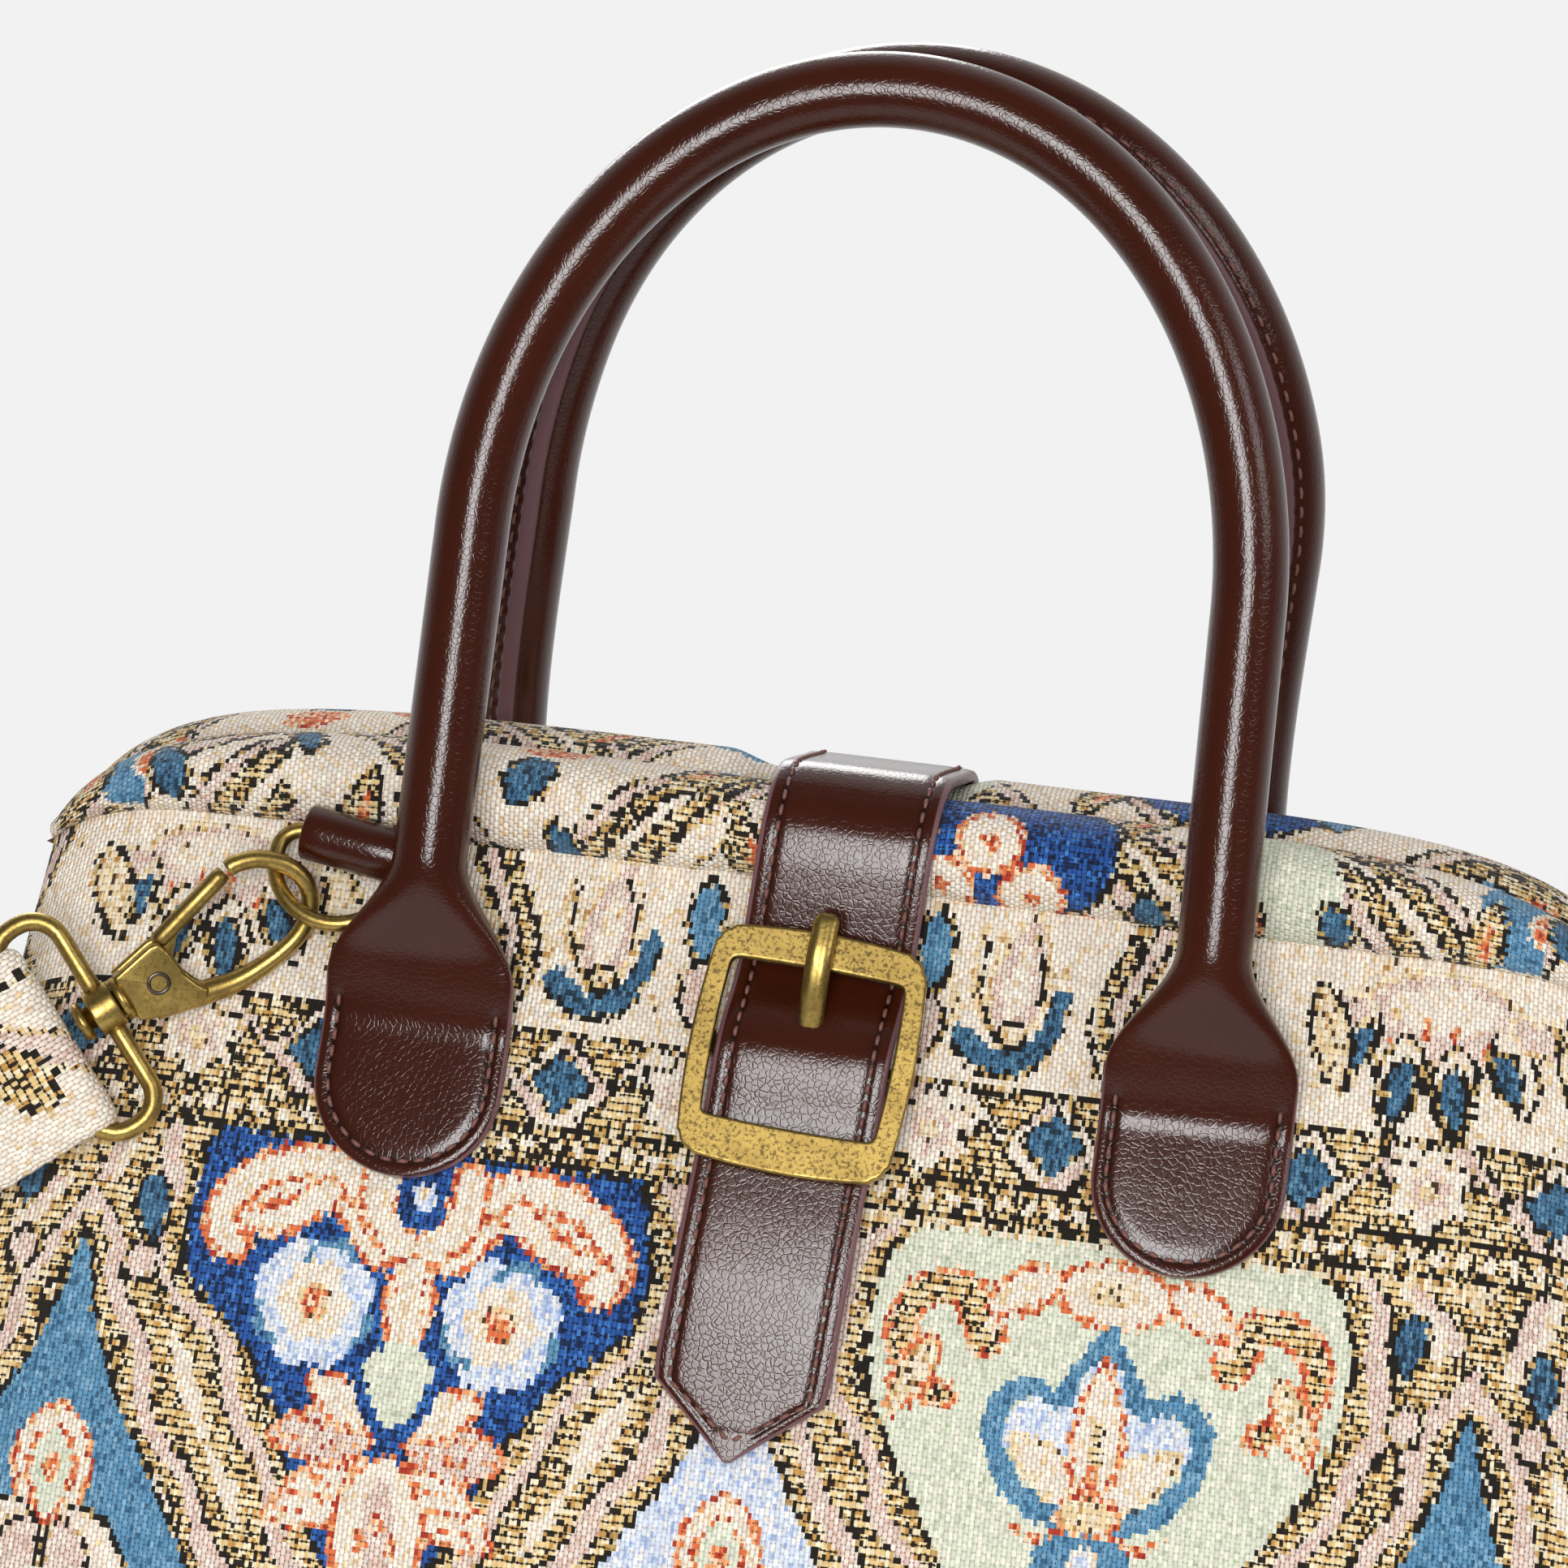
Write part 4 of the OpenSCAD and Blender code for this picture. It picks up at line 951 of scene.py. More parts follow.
def panel_surface(sizes):
    """Front panel's outer points in equal steps of the weave, with their places on the flat cloth."""
    dense_v = np.linspace(1, 0, 900)
    middle = np.stack([-mid_depth(dense_v), mix(PANEL_Z0, SEAM_Z - GAP, dense_v)], 1)
    run = lengths(middle)
    rows = int(round(run[-1] / (sizes.colour_h / MM)))
    row_run = np.linspace(0, run[-1], rows + 1)
    row_v = np.interp(row_run, run, dense_v)
    u = np.sin(np.linspace(-np.pi / 2, np.pi / 2, 601))
    cols = int(round(2 * BASE_HALF / (sizes.colour_w / MM)))
    grid = []
    across = []
    for v in row_v:
        y = -mix(end_depth(v), mid_depth(v), np.sqrt(1 - np.abs(u) ** 5))
        z = mix(PANEL_Z0, seam_at(u * HALF_FRAME) - GAP, v)
        line = np.stack([u * half_len(v), y, z], 1)
        s = lengths(line)
        grid.append(resample(line, cols + 1))
        across.append(np.linspace(-s[-1] / 2, s[-1] / 2, cols + 1))
    grid = np.array(grid)
    slack = ease((SLACK_TOP - grid[..., 2]) / SLACK_FADE) * ease(grid[..., 2] / SLACK_FOOT)
    ripple = 1.3 * np.sin(grid[..., 0] / 27 + 0.7) * np.sin(grid[..., 2] / 21)
    grid[..., 1] -= slack * (ripple + 1.1 * wave(grid[..., 0], 5, 4, 0.03, 0.07))
    grid = np.concatenate([grid[0][None] + HEM_ROLL[:, None], grid])
    across = np.concatenate([np.repeat(across[0][None], len(HEM_DOWN), 0), across])
    down = np.concatenate([HEM_DOWN, row_run])
    return grid, np.array(across), np.repeat(down[:, None], cols + 1, 1)


class BAG_OT_panels(bpy.types.Operator):
    """Adds the front and back panels of the tapestry body"""

    bl_idname = "carpet_bag.add_panels"
    bl_label = "Panels"

    def execute(self, context):
        sizes = context.scene.bag_sizes
        grid, across, down = panel_surface(sizes)
        cloth = tapestry()
        for name, shift, seed in (("front_panel", 0.0, 11), ("back_panel", 61.0, 12)):
            codes = rug(cell_middles(across), cell_middles(down), shift)
            obj = cloth_shell(name + "_cloth", grid, codes, WALL - 0.6, seed, (0, 1, 0), weave_scale(sizes))
            if name == "back_panel":
                obj.data.transform(Matrix.Rotation(math.pi, 4, "Z"))
            finish_piece(obj, "bag", cloth, [name])
        return {"FINISHED"}


class BAG_OT_ends(bpy.types.Operator):
    """Adds the folding end panels and the base"""

    bl_idname = "carpet_bag.add_ends"
    bl_label = "Ends and base"

    def execute(self, context):
        sizes = context.scene.bag_sizes
        cloth = tapestry()
        self.add_gussets(sizes, cloth)
        self.add_base(sizes, cloth)
        return {"FINISHED"}

    def add_gussets(self, sizes, cloth):
        """End panels that fold inwards along their middle."""
        end_seam = SEAM_Z - SEAM_DIP - GAP
        rows, cols = 116, 88
        j = np.linspace(0, 1, rows + 1)[:, None]
        w = np.linspace(-1, 1, cols + 1)[None, :]
        z = mix(PANEL_Z0, end_seam - 1, j)
        v = (z - PANEL_Z0) / (end_seam - PANEL_Z0)
        fold = PLEAT * np.sin(np.pi * j ** 1.4) ** 1.6 * (1 - np.abs(w) ** 1.6)
        x = half_len(v) - fold
        y = w * (end_depth(v) - GAP)
        grid = np.stack([x, y, np.broadcast_to(z, x.shape)], -1)
        run = lengths(grid[:, cols // 2])
        climb = run[:, None] + 0 * w
        codes = rug(cell_middles(y) + 30, 180 - cell_middles(climb), 0.0)
        for name, angle, seed in (("right_gusset", 0.0, 21), ("left_gusset", math.pi, 22)):
            obj = cloth_shell(name + "_cloth", grid, codes, WALL, seed, (-1, 0, 0))
            lay_weave(obj, sizes, 1, 2)
            obj.data.transform(Matrix.Rotation(angle, 4, "Z"))
            finish_piece(obj, "bag", cloth, [name])

    def add_base(self, sizes, cloth):
        """Flat base that the panels are sewn to."""
        rows, cols = 84, 180
        u = np.sin(np.linspace(-np.pi / 2, np.pi / 2, cols + 1))[None, :]
        w = np.linspace(-1, 1, rows + 1)[:, None]
        x = u * half_len(0.0) + 0 * w
        y = w * mix(end_depth(0.0), mid_depth(0.0), np.sqrt(np.maximum(0, 1 - np.abs(u) ** 5)))
        round_off = 1.2 * ease((np.abs(w) - 0.94) / 0.06) + 0 * u
        grid = np.stack([x, y, round_off], -1)
        codes = rug(cell_middles(x), 110 + cell_middles(y), 0.0)
        obj = cloth_shell("base_panel_cloth", grid, codes, BASE_WALL, 31, (0, 0, 1))
        lay_weave(obj, sizes, 0, 1)
        finish_piece(obj, "bag", cloth, ["base_panel"])


# Half width of the casing's dent under the closure strap, and the run over which it ends
DENT_HALF = 15.0
DENT_FADE = 10.0
# Share of the frame's half length that the casings cover
CASING_REACH = 0.985
# Angle below the middle of its inner face at which a casing's cloth starts, and its run below the seam
CASING_START = -0.1 * np.pi
SEAM_RUN = 0.3 * np.pi * CASING_T / 2 + 4


def casing_line(x, q, press, swell, pucker):
    """Line round a casing at x: from the inner face down, round the front and over the top."""
    under_strap = 1 - ease((abs(x) - DENT_HALF) / DENT_FADE)
    low, high = seam_at(x), top_at(x) - press * under_strap
    thick = mix(CASING_T, 0.55 * CASING_T, (abs(x) / HALF_FRAME) ** 6)
    power = mix(2.5, 2.0, under_strap)
    y = thick / 2 * spow(np.cos(CASING_START - q), power)
    z = (high - low) / 2 * spow(np.sin(CASING_START - q), power)
    lift = np.clip(z / (high - low) + 0.5, 0, 1)
    soft = 1 + 0.012 * swell * lift + 0.03 * pucker * (1 - lift) ** 2
    return np.stack([np.full_like(q, x), -CASING_T / 2 - GAP / 2 + np.minimum(y * soft, thick / 2),
                     (low + high) / 2 + z * (1 + 0.02 * swell * lift)], 1)


def rounded_end(ring, side):
    """Two smaller rings that close a casing's end, the smaller one last."""
    middle = ring.mean(0)
    steps = ((0.72, 0.7), (0.3, 1.3))
    return [middle + (ring - middle) * share + [step * side, 0, 0] for share, step in steps]


class BAG_OT_casings(bpy.types.Operator):
    """Adds the padded casings over the frame"""

    bl_idname = "carpet_bag.add_casings"
    bl_label = "Casings"

    def execute(self, context):
        sizes = context.scene.bag_sizes
        cloth = tapestry()
        end = CASING_REACH * HALF_FRAME
        dense = np.linspace(-end, end, 1201)
        s = lengths(np.stack([dense, 0.5 * top_at(dense)], 1))
        cols = int(round(2 * end / (sizes.colour_w / MM)))
        xs = np.interp(np.linspace(0, s[-1], cols + 1), s, dense)
        xs_all = np.concatenate([[xs[0]] * 2, xs, [xs[-1]] * 2])
        rows = int(round(1.75 * (CASING_T + CASING_H) / (sizes.colour_h / MM)))
        q = np.linspace(0, 2 * np.pi, 721)
        for name, seed, shift, press in (("front_casing", 41, 0.0, 0.0),
                                         ("back_casing", 42, 97.0, BACK_PRESS)):
            pucker = wave(xs, seed, 7, 0.12, 0.5)
            swell = wave(xs, seed + 5, 5, 0.02, 0.09)
            lines = [casing_line(x, q, press, swell[i], pucker[i]) for i, x in enumerate(xs)]
            rings = [resample(line, rows + 1)[:-1] for line in lines]
            around = [np.linspace(0, lengths(line)[-1], rows + 1)[:-1] for line in lines]
            rings = rounded_end(rings[0], -1)[::-1] + rings + rounded_end(rings[-1], 1)
            points, faces = tube(rings)
            up = np.concatenate([around[:1] * 2, around, around[-1:] * 2]) - SEAM_RUN
            mid_a = np.repeat(((xs_all[:-1] + xs_all[1:]) / 2)[:, None], rows, 1)
            mid_b = (up[:-1] + np.roll(up[:-1], -1, 1)) / 2
            mid_b[:, -1] = up[:-1, -1]
            codes = casing_rug(mid_a + shift, mid_b)
            thread, ground = yarn_fields(np.concatenate([codes.reshape(-1), [CODE["cream"]] * 2]), seed)
            obj = make_object(name + "_cloth", points, faces)
            vertex = corners_of(obj)
            face_no = np.repeat(np.arange(len(faces)), [len(f) for f in faces])
            last = (face_no % rows == rows - 1) & (face_no < len(codes) * rows) & (vertex % rows == 0)
            cells = np.stack([vertex // rows, vertex % rows + rows * last], 1) * weave_scale(sizes)
            paint_cloth(obj, thread, ground, "FACE", cells)
            if name == "back_casing":
                obj.data.transform(Matrix.Rotation(math.pi, 4, "Z"))
            finish_piece(obj, "bag", cloth, [name])
        return {"FINISHED"}


# Shoulder strap

HARDWARE_DROP = 15.5
HARDWARE_Z = SEAM_Z - HARDWARE_DROP
HOOK_PLACE = np.array([-119.5, -8.0, -17.5])
HOOK_ANGLE = 40.0
HOOK_ROLL = 33.0
HOOK_TILT = 2.0
EYE_ROLL = 16.0
EYE_FAR = -16.4


def hook_to_bag(points, roll):
    """Points of the hook's frame (X to its nose, Y to its gate, Z outwards) in the bag's frame."""
    m = turn("Y", -HOOK_ANGLE) @ turn("X", 90) @ turn("Y", HOOK_TILT) @ turn("X", roll)
    return to_bag(np.asarray(points, float) @ m.T + HOOK_PLACE, HARDWARE_Z)


FREE_ROUTE = [
    (-178, -47, 107), (-187, -28, 91), (-190, 0, 70), (-187, 30, 50), (-178, 58, 33), (-160, 80, 22),
    (-130, 94, 18.5), (-80, 99, 18.5), (-20, 101, 18.5), (40, 101, 18.5), (84, 103, 18.5), (101, 109, 18.5),
    (106, 119, 18.5), (99, 129, 18.5), (80, 134, 18.5), (30, 136, 18.5), (-20, 137, 18.5), (-42, 142, 18.5),
    (-49, 152, 18.5), (-42, 162, 18.5), (-20, 167, 18.5), (40, 168, 18.5), (100, 164, 19.5), (134, 155, 25),
    (160, 142, 36), (178, 124, 52), (186, 102, 71), (185, 80, 91), (177, 65, 107),
]


# Run over which the strap turns from the eye's slant to lying on its edge
SLING_TWIST = 120.0
# Coarser colour steps of the strap's cloth, down and across
SLING_STEPS = (1.3, 1.1)


def sling_path():
    """Middle line of the shoulder strap, with the length of its first fold."""
    r = EYE_WIRE / 2 + 0.4 + SLING_T / 2
    layer = SLING_T / 2 + 0.25
    side = [(-42, layer), (-26, layer), (-12, layer + 0.3), (-5, r - 0.3), (0, r), (0.72 * r, 0.72 * r)]
    fold = [(EYE_FAR + a, 0, -b) for a, b in side] + [(EYE_FAR + r, 0, 0)]
    fold += [(EYE_FAR + a, 0, b) for a, b in reversed(side)]
    first = hook_to_bag(fold, EYE_ROLL)
    last = first[::-1] * [-1, -1, 1]
    free = spline(np.concatenate([first[-1:], np.array(FREE_ROUTE, float), last[:1]]), 8)
    start = spline(first, 4)
    end = spline(last, 4)
    line = np.concatenate([start[:-1], free, end[1:]])
    return line, lengths(start)[-1]


class BAG_OT_sling(bpy.types.Operator):
    """Adds the tapestry shoulder strap"""

    bl_idname = "carpet_bag.add_sling"
    bl_label = "Shoulder strap"

    def execute(self, context):
        sizes = context.scene.bag_sizes
        line, fold_run = sling_path()
        total = lengths(line)[-1]
        rows = int(round(total / (SLING_STEPS[0] * sizes.colour_h / MM)))
        path = resample(line, rows + 1)
        s = np.linspace(0, total, rows + 1)
        t = tangents(path)
        hook = hook_to_bag([(0, 0, 0), (0, 1, 0)], EYE_ROLL)
        across = hook[1] - hook[0]
        upright = np.array([0, 0, 1.0])
        first = mix(across, upright, ease((s - fold_run) / SLING_TWIST)[:, None])
        last = mix(across * [-1, -1, 1], upright, ease((total - fold_run - s) / SLING_TWIST)[:, None])
        hint = np.where((s < total / 2)[:, None], first, last)
        e1 = unit(hint - t * np.sum(hint * t, 1, keepdims=True))
        e2 = np.cross(t, e1)
        cols = int(round(SLING_W / (SLING_STEPS[1] * sizes.colour_w / MM)))
        face_a = np.linspace(-SLING_W / 2, SLING_W / 2, cols + 1)
        rim = 0.5 * SLING_T * np.sqrt(np.maximum(0, 1 - (np.abs(face_a) / (SLING_W / 2)) ** 14)) * 0.94
        ring_a = np.concatenate([face_a, face_a[::-1][1:-1]])
        ring_b = np.concatenate([rim, -rim[::-1][1:-1]])
        ragged = 0.22 * wave(s, 3, 9, 0.5, 3.0)
        spread = ring_a[None, :] * (1 + ragged[:, None] / (SLING_W / 2))
        rings = path[:, None] + spread[..., None] * e1[:, None] + ring_b[None, :, None] * e2[:, None]
        n = len(ring_a)
        mid_a = np.tile((ring_a + np.roll(ring_a, -1)) / 2, (rows, 1))
        mid_b = np.repeat(((s[:-1] + s[1:]) / 2)[:, None], n, 1)
        codes = sling_rug(mid_a, mid_b)
        # Two lengths, sewn together behind the bag; each ends at its own eye
        half = rows // 2
        for side, low, high, hand, seed in (("front", 0, half, 1, 51), ("back", half, rows, -1, 52)):
            points, faces = tube(rings[low:high + 1])
            flat_codes = np.concatenate([codes[low:high].reshape(-1), [CODE["cream"]] * 2])
            thread, ground = yarn_fields(flat_codes, seed)
            obj = make_object(side + "_shoulder_strap_cloth", points, faces)
            corner = corners_of(obj)
            cells = np.stack([ring_a[corner % n] * MM / sizes.stitch_w,
                              s[low + corner // n] * MM / sizes.stitch_h], 1)
            paint_cloth(obj, thread, ground, "FACE", cells)
            finish_piece(obj, None, tapestry(), ["shoulder_strap"])
            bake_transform(obj)
        return {"FINISHED"}


# Leather pieces

TAB_Z = SEAM_Z - TAB_DROP
NECK_Z = TAB_Z + TAB_L * COS_LEAN
NECK_Y = depth_at(NECK_Z) + NECK_N / COS_LEAN
TAB_YAW = 0.055
BACK_SWING = 3.5
# Inset of a tab's stitches from its edge, and the height to which they go
TAB_INSET = 2.6
TAB_SEWN_TO = 31.0
# Step and half width of the smoothing that bends a tab into the roll, and where along the handle it works
BEND_STEP = 0.5
BEND_HALF = 42
BEND_FROM = (24.0, 16.0)
BEND_TO = (TAB_L + 40, 40.0)


def tab_half(s):
    r = TAB_W / 2
    low = np.sqrt(np.maximum(0, r * r - (r - np.minimum(s, r)) ** 2))
    neck = mix(r, HANDLE_D / 2, ease((s - 0.58 * TAB_L) / (0.42 * TAB_L)) ** 1.1)
    return np.where(s < r, low, neck)


def tab_y(s):
    lift = ease((s - SEWN_L + 6) / (TAB_L - SEWN_L + 6))
    return depth_at(TAB_Z + s * COS_LEAN) + mix(GAP + TAB_T / 2, NECK_N, lift) / COS_LEAN


def lean_y(z):
    return NECK_Y - HANDLE_LEAN * (z - NECK_Z) / (BODY_H + HANDLE_RISE - NECK_Z)


def handle_path():
    """Half of the handle's middle line, with the distance along the tab of each point."""
    s = np.concatenate([TAB_W / 2 * (1 - np.cos(np.linspace(0.06, np.pi / 2, 16))),
                        np.linspace(TAB_W / 2, TAB_L, 46)[1:-1]])
    tab = np.stack([np.full_like(s, HANDLE_SPAN / 2), -tab_y(s), TAB_Z + s * COS_LEAN, s], 1)
    arch_z = BODY_H + 40
    arch_half = HANDLE_SPAN / 2 - 1
    z = np.linspace(NECK_Z, arch_z, 24)[:-1]
    leg = np.stack([mix(HANDLE_SPAN / 2, arch_half, (z - NECK_Z) / (arch_z - NECK_Z)), -lean_y(z), z,
                    np.full_like(z, TAB_L)], 1)
    q = np.linspace(0, np.pi / 2, 64)
    z = arch_z + (BODY_H + HANDLE_RISE - arch_z) * np.sin(q)
    arch = np.stack([arch_half * np.cos(q), -lean_y(z), z, np.full_like(z, TAB_L)], 1)
    right = np.concatenate([tab, leg, arch])
    # A soft bend where the tab turns into the roll
    run = lengths(right[:, :3])
    fine = np.arange(0, run[-1], BEND_STEP)
    weight = np.hanning(2 * BEND_HALF + 1)
    padded = np.pad(np.interp(fine, run, right[:, 1]), BEND_HALF, "edge")
    smooth = np.convolve(padded, weight / weight.sum(), "valid")
    bend = ease((run - BEND_FROM[0]) / BEND_FROM[1]) * (1 - ease((run - BEND_TO[0]) / BEND_TO[1]))
    right[:, 1] = mix(right[:, 1], np.interp(run, fine, smooth), bend)
    left = right[:-1][::-1] * [-1, 1, 1, 1]
    return np.concatenate([right, left])


def handle_section(s, q, inner):
    """Across and out distances of the roll or tab, its painted edge and its pressed line.

    The seam lies on the inner side.
    """
    half = tab_half(s)
    thick = mix(TAB_T, HANDLE_D, ease((s - 0.66 * TAB_L) / (0.34 * TAB_L))) / 2
    power = mix(4.5, 2, ease((s - 0.6 * TAB_L) / (0.4 * TAB_L)))
    a = half * spow(np.cos(q), power)
    b = thick * spow(np.sin(q), power)
    flat = 1 - ease((s - 0.5 * TAB_L) / (0.3 * TAB_L))
    # A pressed line under the stitches; the leather also paints it darker, as painted shade in the groove
    r = TAB_W / 2
    inset = r - np.hypot(r - s, a) if s < r else half - np.abs(a)
    press = np.exp(-((inset - TAB_INSET) / 0.75) ** 2) * (1 - ease((s - TAB_SEWN_TO) / 2))
    b = b - np.sign(b) * 0.3 * press
    edge = np.clip(1 - np.abs(np.sin(q)) / 0.55, 0, 1) * flat
    # The roll's seam: two painted edges that stand out along its inner side
    away = np.arccos(np.clip(inner * np.sin(q), -1, 1))
    ridge = (1 - ease((away - 0.17) / 0.09)) * ease((s - 0.82 * TAB_L) / (0.18 * TAB_L))
    grow = 1 + ridge * 0.9 / (HANDLE_D / 2)
    return a * grow, b * grow, np.maximum(edge, ridge), press


def leather_strip(name, line, e1, e2, sections):
    """Leather piece through sections along a line, with its painted edges and its pressed line.

    A section holds the distances across and out, the edge and the press; the press also marks where the
    leather is painted darker, as painted shade along the groove.
    """
    rings = [p + a[:, None] * u + b[:, None] * v for p, u, v, (a, b, _, _) in zip(line, e1, e2, sections)]
    obj = make_object(name, *tube(rings))
    set_values(obj, "edge", [edge for _, _, edge, _ in sections])
    set_values(obj, "press", [press for _, _, _, press in sections])
    return obj


def stitches(points, out, pitch, d):
    """Row of sewn stitches along a line; out is the surface's direction at each point."""
    s = lengths(points)
    count = max(2, int(round(s[-1] / pitch)))
    starts = (np.arange(count) + 0.5) * s[-1] / count
    parts = []
    long = 0.74 * pitch
    for c in starts:
        local = np.linspace(-long / 2, long / 2, 6)
        at = np.clip(c + local, 0, s[-1])
        p = np.stack([np.interp(at, s, points[:, k]) for k in range(3)], 1)
        n = unit(np.stack([np.interp(at, s, out[:, k]) for k in range(3)], 1))
        rise_up = d * (0.34 - 1.35 * np.abs(local / (long / 2)) ** 3)
        p = p + n * rise_up[:, None]
        thin = d * (1 - 0.45 * np.abs(local / (long / 2)) ** 3)
        parts.append(wire(p, thin, n.mean(0), 6))
    return join_parts(parts)


class BAG_OT_handles(bpy.types.Operator):
    """Adds the two rolled handles with their sewn tabs"""

    bl_idname = "carpet_bag.add_handles"
    bl_label = "Handles"

    def execute(self, context):
        sizes = context.scene.bag_sizes
        path = handle_path()
        line = path[:, :3]
        t = tangents(line)
        e1 = unit(np.cross([0, 1, 0], t))
        e2 = np.cross(t, e1)
        # Each tab's outer edge lies a little further back, as the panel bulges
        bulge = (1 - ease((path[:, 3] - 34) / 22))[:, None]
        line = line - bulge * [0, TAB_YAW * 9, 0]
        flat_e1 = unit(e1 + bulge * [0, TAB_YAW, 0])
        flat_e2 = np.cross(t, flat_e1)
        q = section_angles(LEATHER_SIDES)
        sections = [handle_section(s, q, 1 if e2[i][1] > 0 else -1) for i, s in enumerate(path[:, 3])]
        front = leather_strip("front_handle_leather", line, flat_e1, flat_e2, sections)
        back = half_turned(front, "back_handle_leather")
        self.swing(back)
        finish_pair(front, back, leather(), "handle")
        self.add_thread(sizes, line, e1, e2, path[:, 3])
        return {"FINISHED"}

    def swing(self, obj):
        """Lets a soft handle hang a little to the right above its tabs."""
        co = points_of(obj)
        co[:, 0] += BACK_SWING * MM * ease((co[:, 2] / MM - NECK_Z - 12) / 70)
        obj.data.vertices.foreach_set("co", co.ravel())
        obj.data.update()

    def add_thread(self, sizes, line, e1, e2, along):
        """Stitching round the lower edge of each tab and along the roll's seam."""
        d = sizes.thread_d / MM
        pitch = sizes.thread_pitch / MM
        parts = []
        n_tab = int(np.sum(along < TAB_L)) // 2
        tab_line = line[:n_tab]
        tab_s = along[:n_tab]
        outward = -e2[n_tab // 3] if e2[n_tab // 3][1] > 0 else e2[n_tab // 3]
        r = TAB_W / 2 - TAB_INSET
        turns = np.linspace(-np.pi / 2, np.pi / 2, 40)
        side = np.linspace(TAB_SEWN_TO + 0.5, TAB_W / 2, 14)[:-1]
        u_shape = np.concatenate([
            np.stack([np.full_like(side, -r), side], 1),
            np.stack([r * np.sin(turns), TAB_W / 2 - r * np.cos(turns)], 1),
            np.stack([np.full_like(side, r), side[::-1]], 1)])
        y = -np.interp(u_shape[:, 1], tab_s, -tab_line[:, 1])
        z = np.interp(u_shape[:, 1], tab_s, tab_line[:, 2])
        seat = TAB_T / 2 - 0.27
        for side_x in (-1, 1):
            back = TAB_YAW * u_shape[:, 0] * side_x
            p = np.stack([side_x * HANDLE_SPAN / 2 + u_shape[:, 0], y + back, z], 1) + outward * seat
            parts.append(stitches(p, np.repeat(outward[None], len(p), 0), pitch, d))
        roll = along >= TAB_L
        towards = e2[roll] * np.where(e2[roll][:, 1:2] > 0, 1, -1)
        beside = unit(towards + 0.45 * e1[roll])
        parts.append(stitches(line[roll] + beside * (HANDLE_D / 2 - 0.05), beside, pitch * 1.2, d * 0.9))
        points, faces = join_parts(parts)
        front = make_object("front_handle_thread", points, faces, outward=False)
        back = half_turned(front, "back_handle_thread")
        self.swing(back)
        finish_pair(front, back, sewing_thread())


BUCKLE_DROP = 30.0
BUCKLE_Z = SEAM_Z - BUCKLE_DROP * COS_LEAN
WINDOW_TOP = 15.0
WINDOW_LOW = -13.5
STRAP_REST = GAP + STRAP_T / 2 + 0.2
BAR_N = GAP + CHAPE_T + 0.15 + BAR_D / 2
STRAP_OVER_BAR = BAR_N + BAR_D / 2 + 0.15 + CHAPE_T + GAP + STRAP_T / 2
STRAP_OVER_CHAPE = 2 * GAP + 2 * CHAPE_T + STRAP_T / 2 + 0.6
BUCKLE_N = STRAP_OVER_CHAPE + STRAP_T / 2 + GAP
STRAP_SETTLE = -33.0
SKEW_TURN = turn("Y", math.degrees(math.atan(STRAP_SKEW)))
# In front the strap turns down in one round fold and runs taut to the panel: places of its middle line
STRAP_FOLD = [(-4, 205.2), (-10, 205.7), (-14.2, 204.7), (-18, 202.3), (-20.7, 198.6),
              (-22.3, 193.6), (-23.3, 187)]
# Heights up and down the slope, from the buckle's bar, at which the strap's line is placed
STRAP_STEPS = [18, 14, 11, 8, 5, 2, 0, -3, -6, -9, -12, -16, -22, -30, -38, -42, -46, -50, -54]
# Inset of the strap's stitches, and their depth in the pressed line
STRAP_INSET = 3.0
STRAP_PRESS = 0.22


def strap_lift(p):
    high = mix(STRAP_REST, STRAP_OVER_BAR, ease((WINDOW_TOP + 1 - p) / (WINDOW_TOP + 1)))
    mid = mix(STRAP_OVER_BAR, STRAP_OVER_CHAPE, ease(p / (WINDOW_LOW - 1)))
    low = mix(STRAP_OVER_CHAPE, STRAP_REST, ease((STRAP_SETTLE - p) / 40))
    return np.where(p >= 0, high, np.where(p > STRAP_SETTLE, mid, low))


def strap_on_panel(p, lift):
    z = BUCKLE_Z + p * COS_LEAN
    return np.stack([np.zeros_like(z), -depth_at(z) - lift * COS_LEAN, z + lift * SIN_LEAN], -1)


def strap_over_casing(q, press):
    """Strap's middle line over half of a casing, which it presses down."""
    ry = CASING_T / 2 + STRAP_REST + 0.5
    rz = CASING_H / 2 + STRAP_REST + 0.5 - press
    return np.stack([np.zeros_like(q), -CASING_T / 2 - GAP / 2 - ry * np.cos(q),
                     BODY_H - CASING_H / 2 + rz * np.sin(q)], -1)


def closure_line():
    """Middle line of the closure strap from the back to its point, and the run to the buckle's bar."""
    back = strap_on_panel(np.array([-6.0, 4, 12, 20]), np.full(4, STRAP_REST)) * [-1, -1, 1]
    q = np.radians([0, 20, 40, 55, 70, 90])
    over_back = strap_over_casing(q, BACK_PRESS) * [-1, -1, 1]
    over_front = np.array([(0, y, z) for y, z in STRAP_FOLD])
    tip = BUCKLE_DROP - STRAP_REACH
    p = np.array([*STRAP_STEPS, tip + STRAP_POINT, tip + 6, tip], float)
    front = strap_on_panel(p, strap_lift(p))
    line = spline(np.concatenate([back, over_back, over_front, front]), 6)
    run = lengths(line)
    bar = run[(len(back) + len(over_back) + len(over_front) + STRAP_STEPS.index(0)) * 6]
    return resample(line, 460), run[-1], bar


